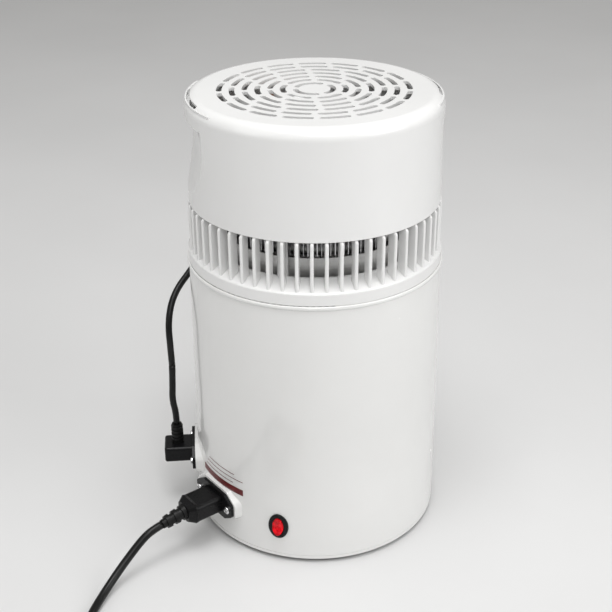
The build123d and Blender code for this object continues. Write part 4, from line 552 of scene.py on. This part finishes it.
def red_print():
    """Dark red print, a little thin in places."""
    made, tree, shader = start_finish("red_print", 0.35)
    tint(tree, shader, even_cloud(tree, 260, 5), (0.095, 0.003, 0.004), (0.16, 0.008, 0.010))
    polish(tree, shader, even_cloud(tree, 500), 0.28, 0.45)
    return made


def dark_paint():
    """Matt dark paint on the base plate."""
    made, tree, shader = start_finish("dark_plate", 0.6)
    tint(tree, shader, even_cloud(tree, 30), (0.055, 0.055, 0.057), (0.085, 0.085, 0.088))
    speck = even_cloud(tree, 700, 3)
    polish(tree, shader, speck, 0.5, 0.7)
    relief(tree, shader, speck, 0.25, 0.0002)
    return made


finishes = {
    "white_enamel": white_enamel(),
    "white_plastic": white_plastic(),
    "dark_plate": dark_paint(),
    "stainless": drawn_steel("stainless", (0.62, 0.62, 0.615), (0.76, 0.76, 0.75), 0.52),
    "sheath_steel": bright_metal("sheath_steel", (0.26, 0.26, 0.27), (0.42, 0.42, 0.42), 0.4),
    "lamination_steel": layered_steel(),
    "bracket_steel": bright_metal("bracket_steel", (0.48, 0.48, 0.49), (0.62, 0.62, 0.62), 0.35),
    "zinc_screw": bright_metal("zinc_screw", (0.50, 0.50, 0.52), (0.66, 0.66, 0.66), 0.3, 400),
    "bright_screw": bright_metal(
        "bright_screw", (0.66, 0.66, 0.67), (0.82, 0.82, 0.82), 0.14, 400
    ),
    "shield_aluminium": drawn_steel(
        "shield_aluminium", (0.62, 0.62, 0.63), (0.76, 0.76, 0.77), 0.35
    ),
    "fin_aluminium": bright_metal(
        "fin_aluminium", (0.70, 0.70, 0.71), (0.84, 0.84, 0.85), 0.22, 160
    ),
    "terminal_brass": bright_metal(
        "terminal_brass", (0.55, 0.42, 0.18), (0.74, 0.60, 0.30), 0.28, 300
    ),
    "winding_copper": wound_copper(),
    "black_plastic": black_moulding(
        "black_plastic", (0.003, 0.003, 0.003), (0.007, 0.007, 0.008), 0.3, 900, 0.0001
    ),
    "fan_plastic": pale_moulding(),
    "black_rubber": black_moulding(
        "black_rubber", (0.004, 0.004, 0.004), (0.009, 0.009, 0.009), 0.4, 600, 0.00015
    ),
    "red_lens": red_lens(),
    "black_cord": lead_jacket(),
    "silicone": soft_silicone(),
    "carbon_cloth": filter_cloth(),
}


def paint(piece, finish):
    """Give a piece one finish."""
    piece.data.materials.clear()
    piece.data.materials.append(finish)


for entry in frame["record"]["subparts"]:
    paint(nodes[entry["node"]], finishes[entry["material_slot"]])
for lead in (mains_lead, *fan_leads):
    paint(lead, finishes["black_cord"])
paint(printed_bar, red_print())
paint(rolled_edge, finishes["white_enamel"])

# Floor
bpy.ops.object.select_all(action="DESELECT")
floor_size = 60
bpy.ops.mesh.primitive_plane_add(size=floor_size, location=(0, 0, 0))
floor = bpy.context.object
floor.name = "studio_floor"
floor_paint, floor_tree, floor_shader = start_finish("floor_paint", 0.6)
tint(floor_tree, floor_shader, even_cloud(floor_tree, 3), (0.70, 0.70, 0.70), (0.73, 0.73, 0.73))
paint(floor, floor_paint)


# Light
def soft_lamp(name, place, aim, size, power):
    """Large square lamp turned towards a point."""
    bpy.ops.object.light_add(type="AREA", location=place)
    lamp = bpy.context.object
    lamp.name = name
    lamp.data.shape = "SQUARE"
    lamp.data.size = size
    lamp.data.energy = power
    lamp.rotation_mode = "QUATERNION"
    lamp.rotation_quaternion = (Vector(aim) - Vector(place)).to_track_quat("-Z", "Y")


body_middle = (0, 0, 0.2)
soft_lamp("lamp_over", (0.1, 0.3, 2.2), body_middle, 1.0, 22)
soft_lamp("lamp_front", (0.1, 1.35, 1.8), body_middle, 0.7, 9)
soft_lamp("lamp_left", (1.6, 0.7, 1.1), body_middle, 1.0, 2.5)
soft_lamp("lamp_right", (-1.5, 1.1, 1.2), body_middle, 1.2, 13)
room = bpy.data.worlds.new("room_light")
bpy.context.scene.world = room
room.use_nodes = True
sky = room.node_tree.nodes["Background"]
sky.inputs["Color"].default_value = (1.0, 0.99, 0.97, 1)
sky.inputs["Strength"].default_value = 0.4
bpy.context.scene.view_settings.view_transform = "Standard"

# Bring the scene up to date
bpy.context.view_layer.update()
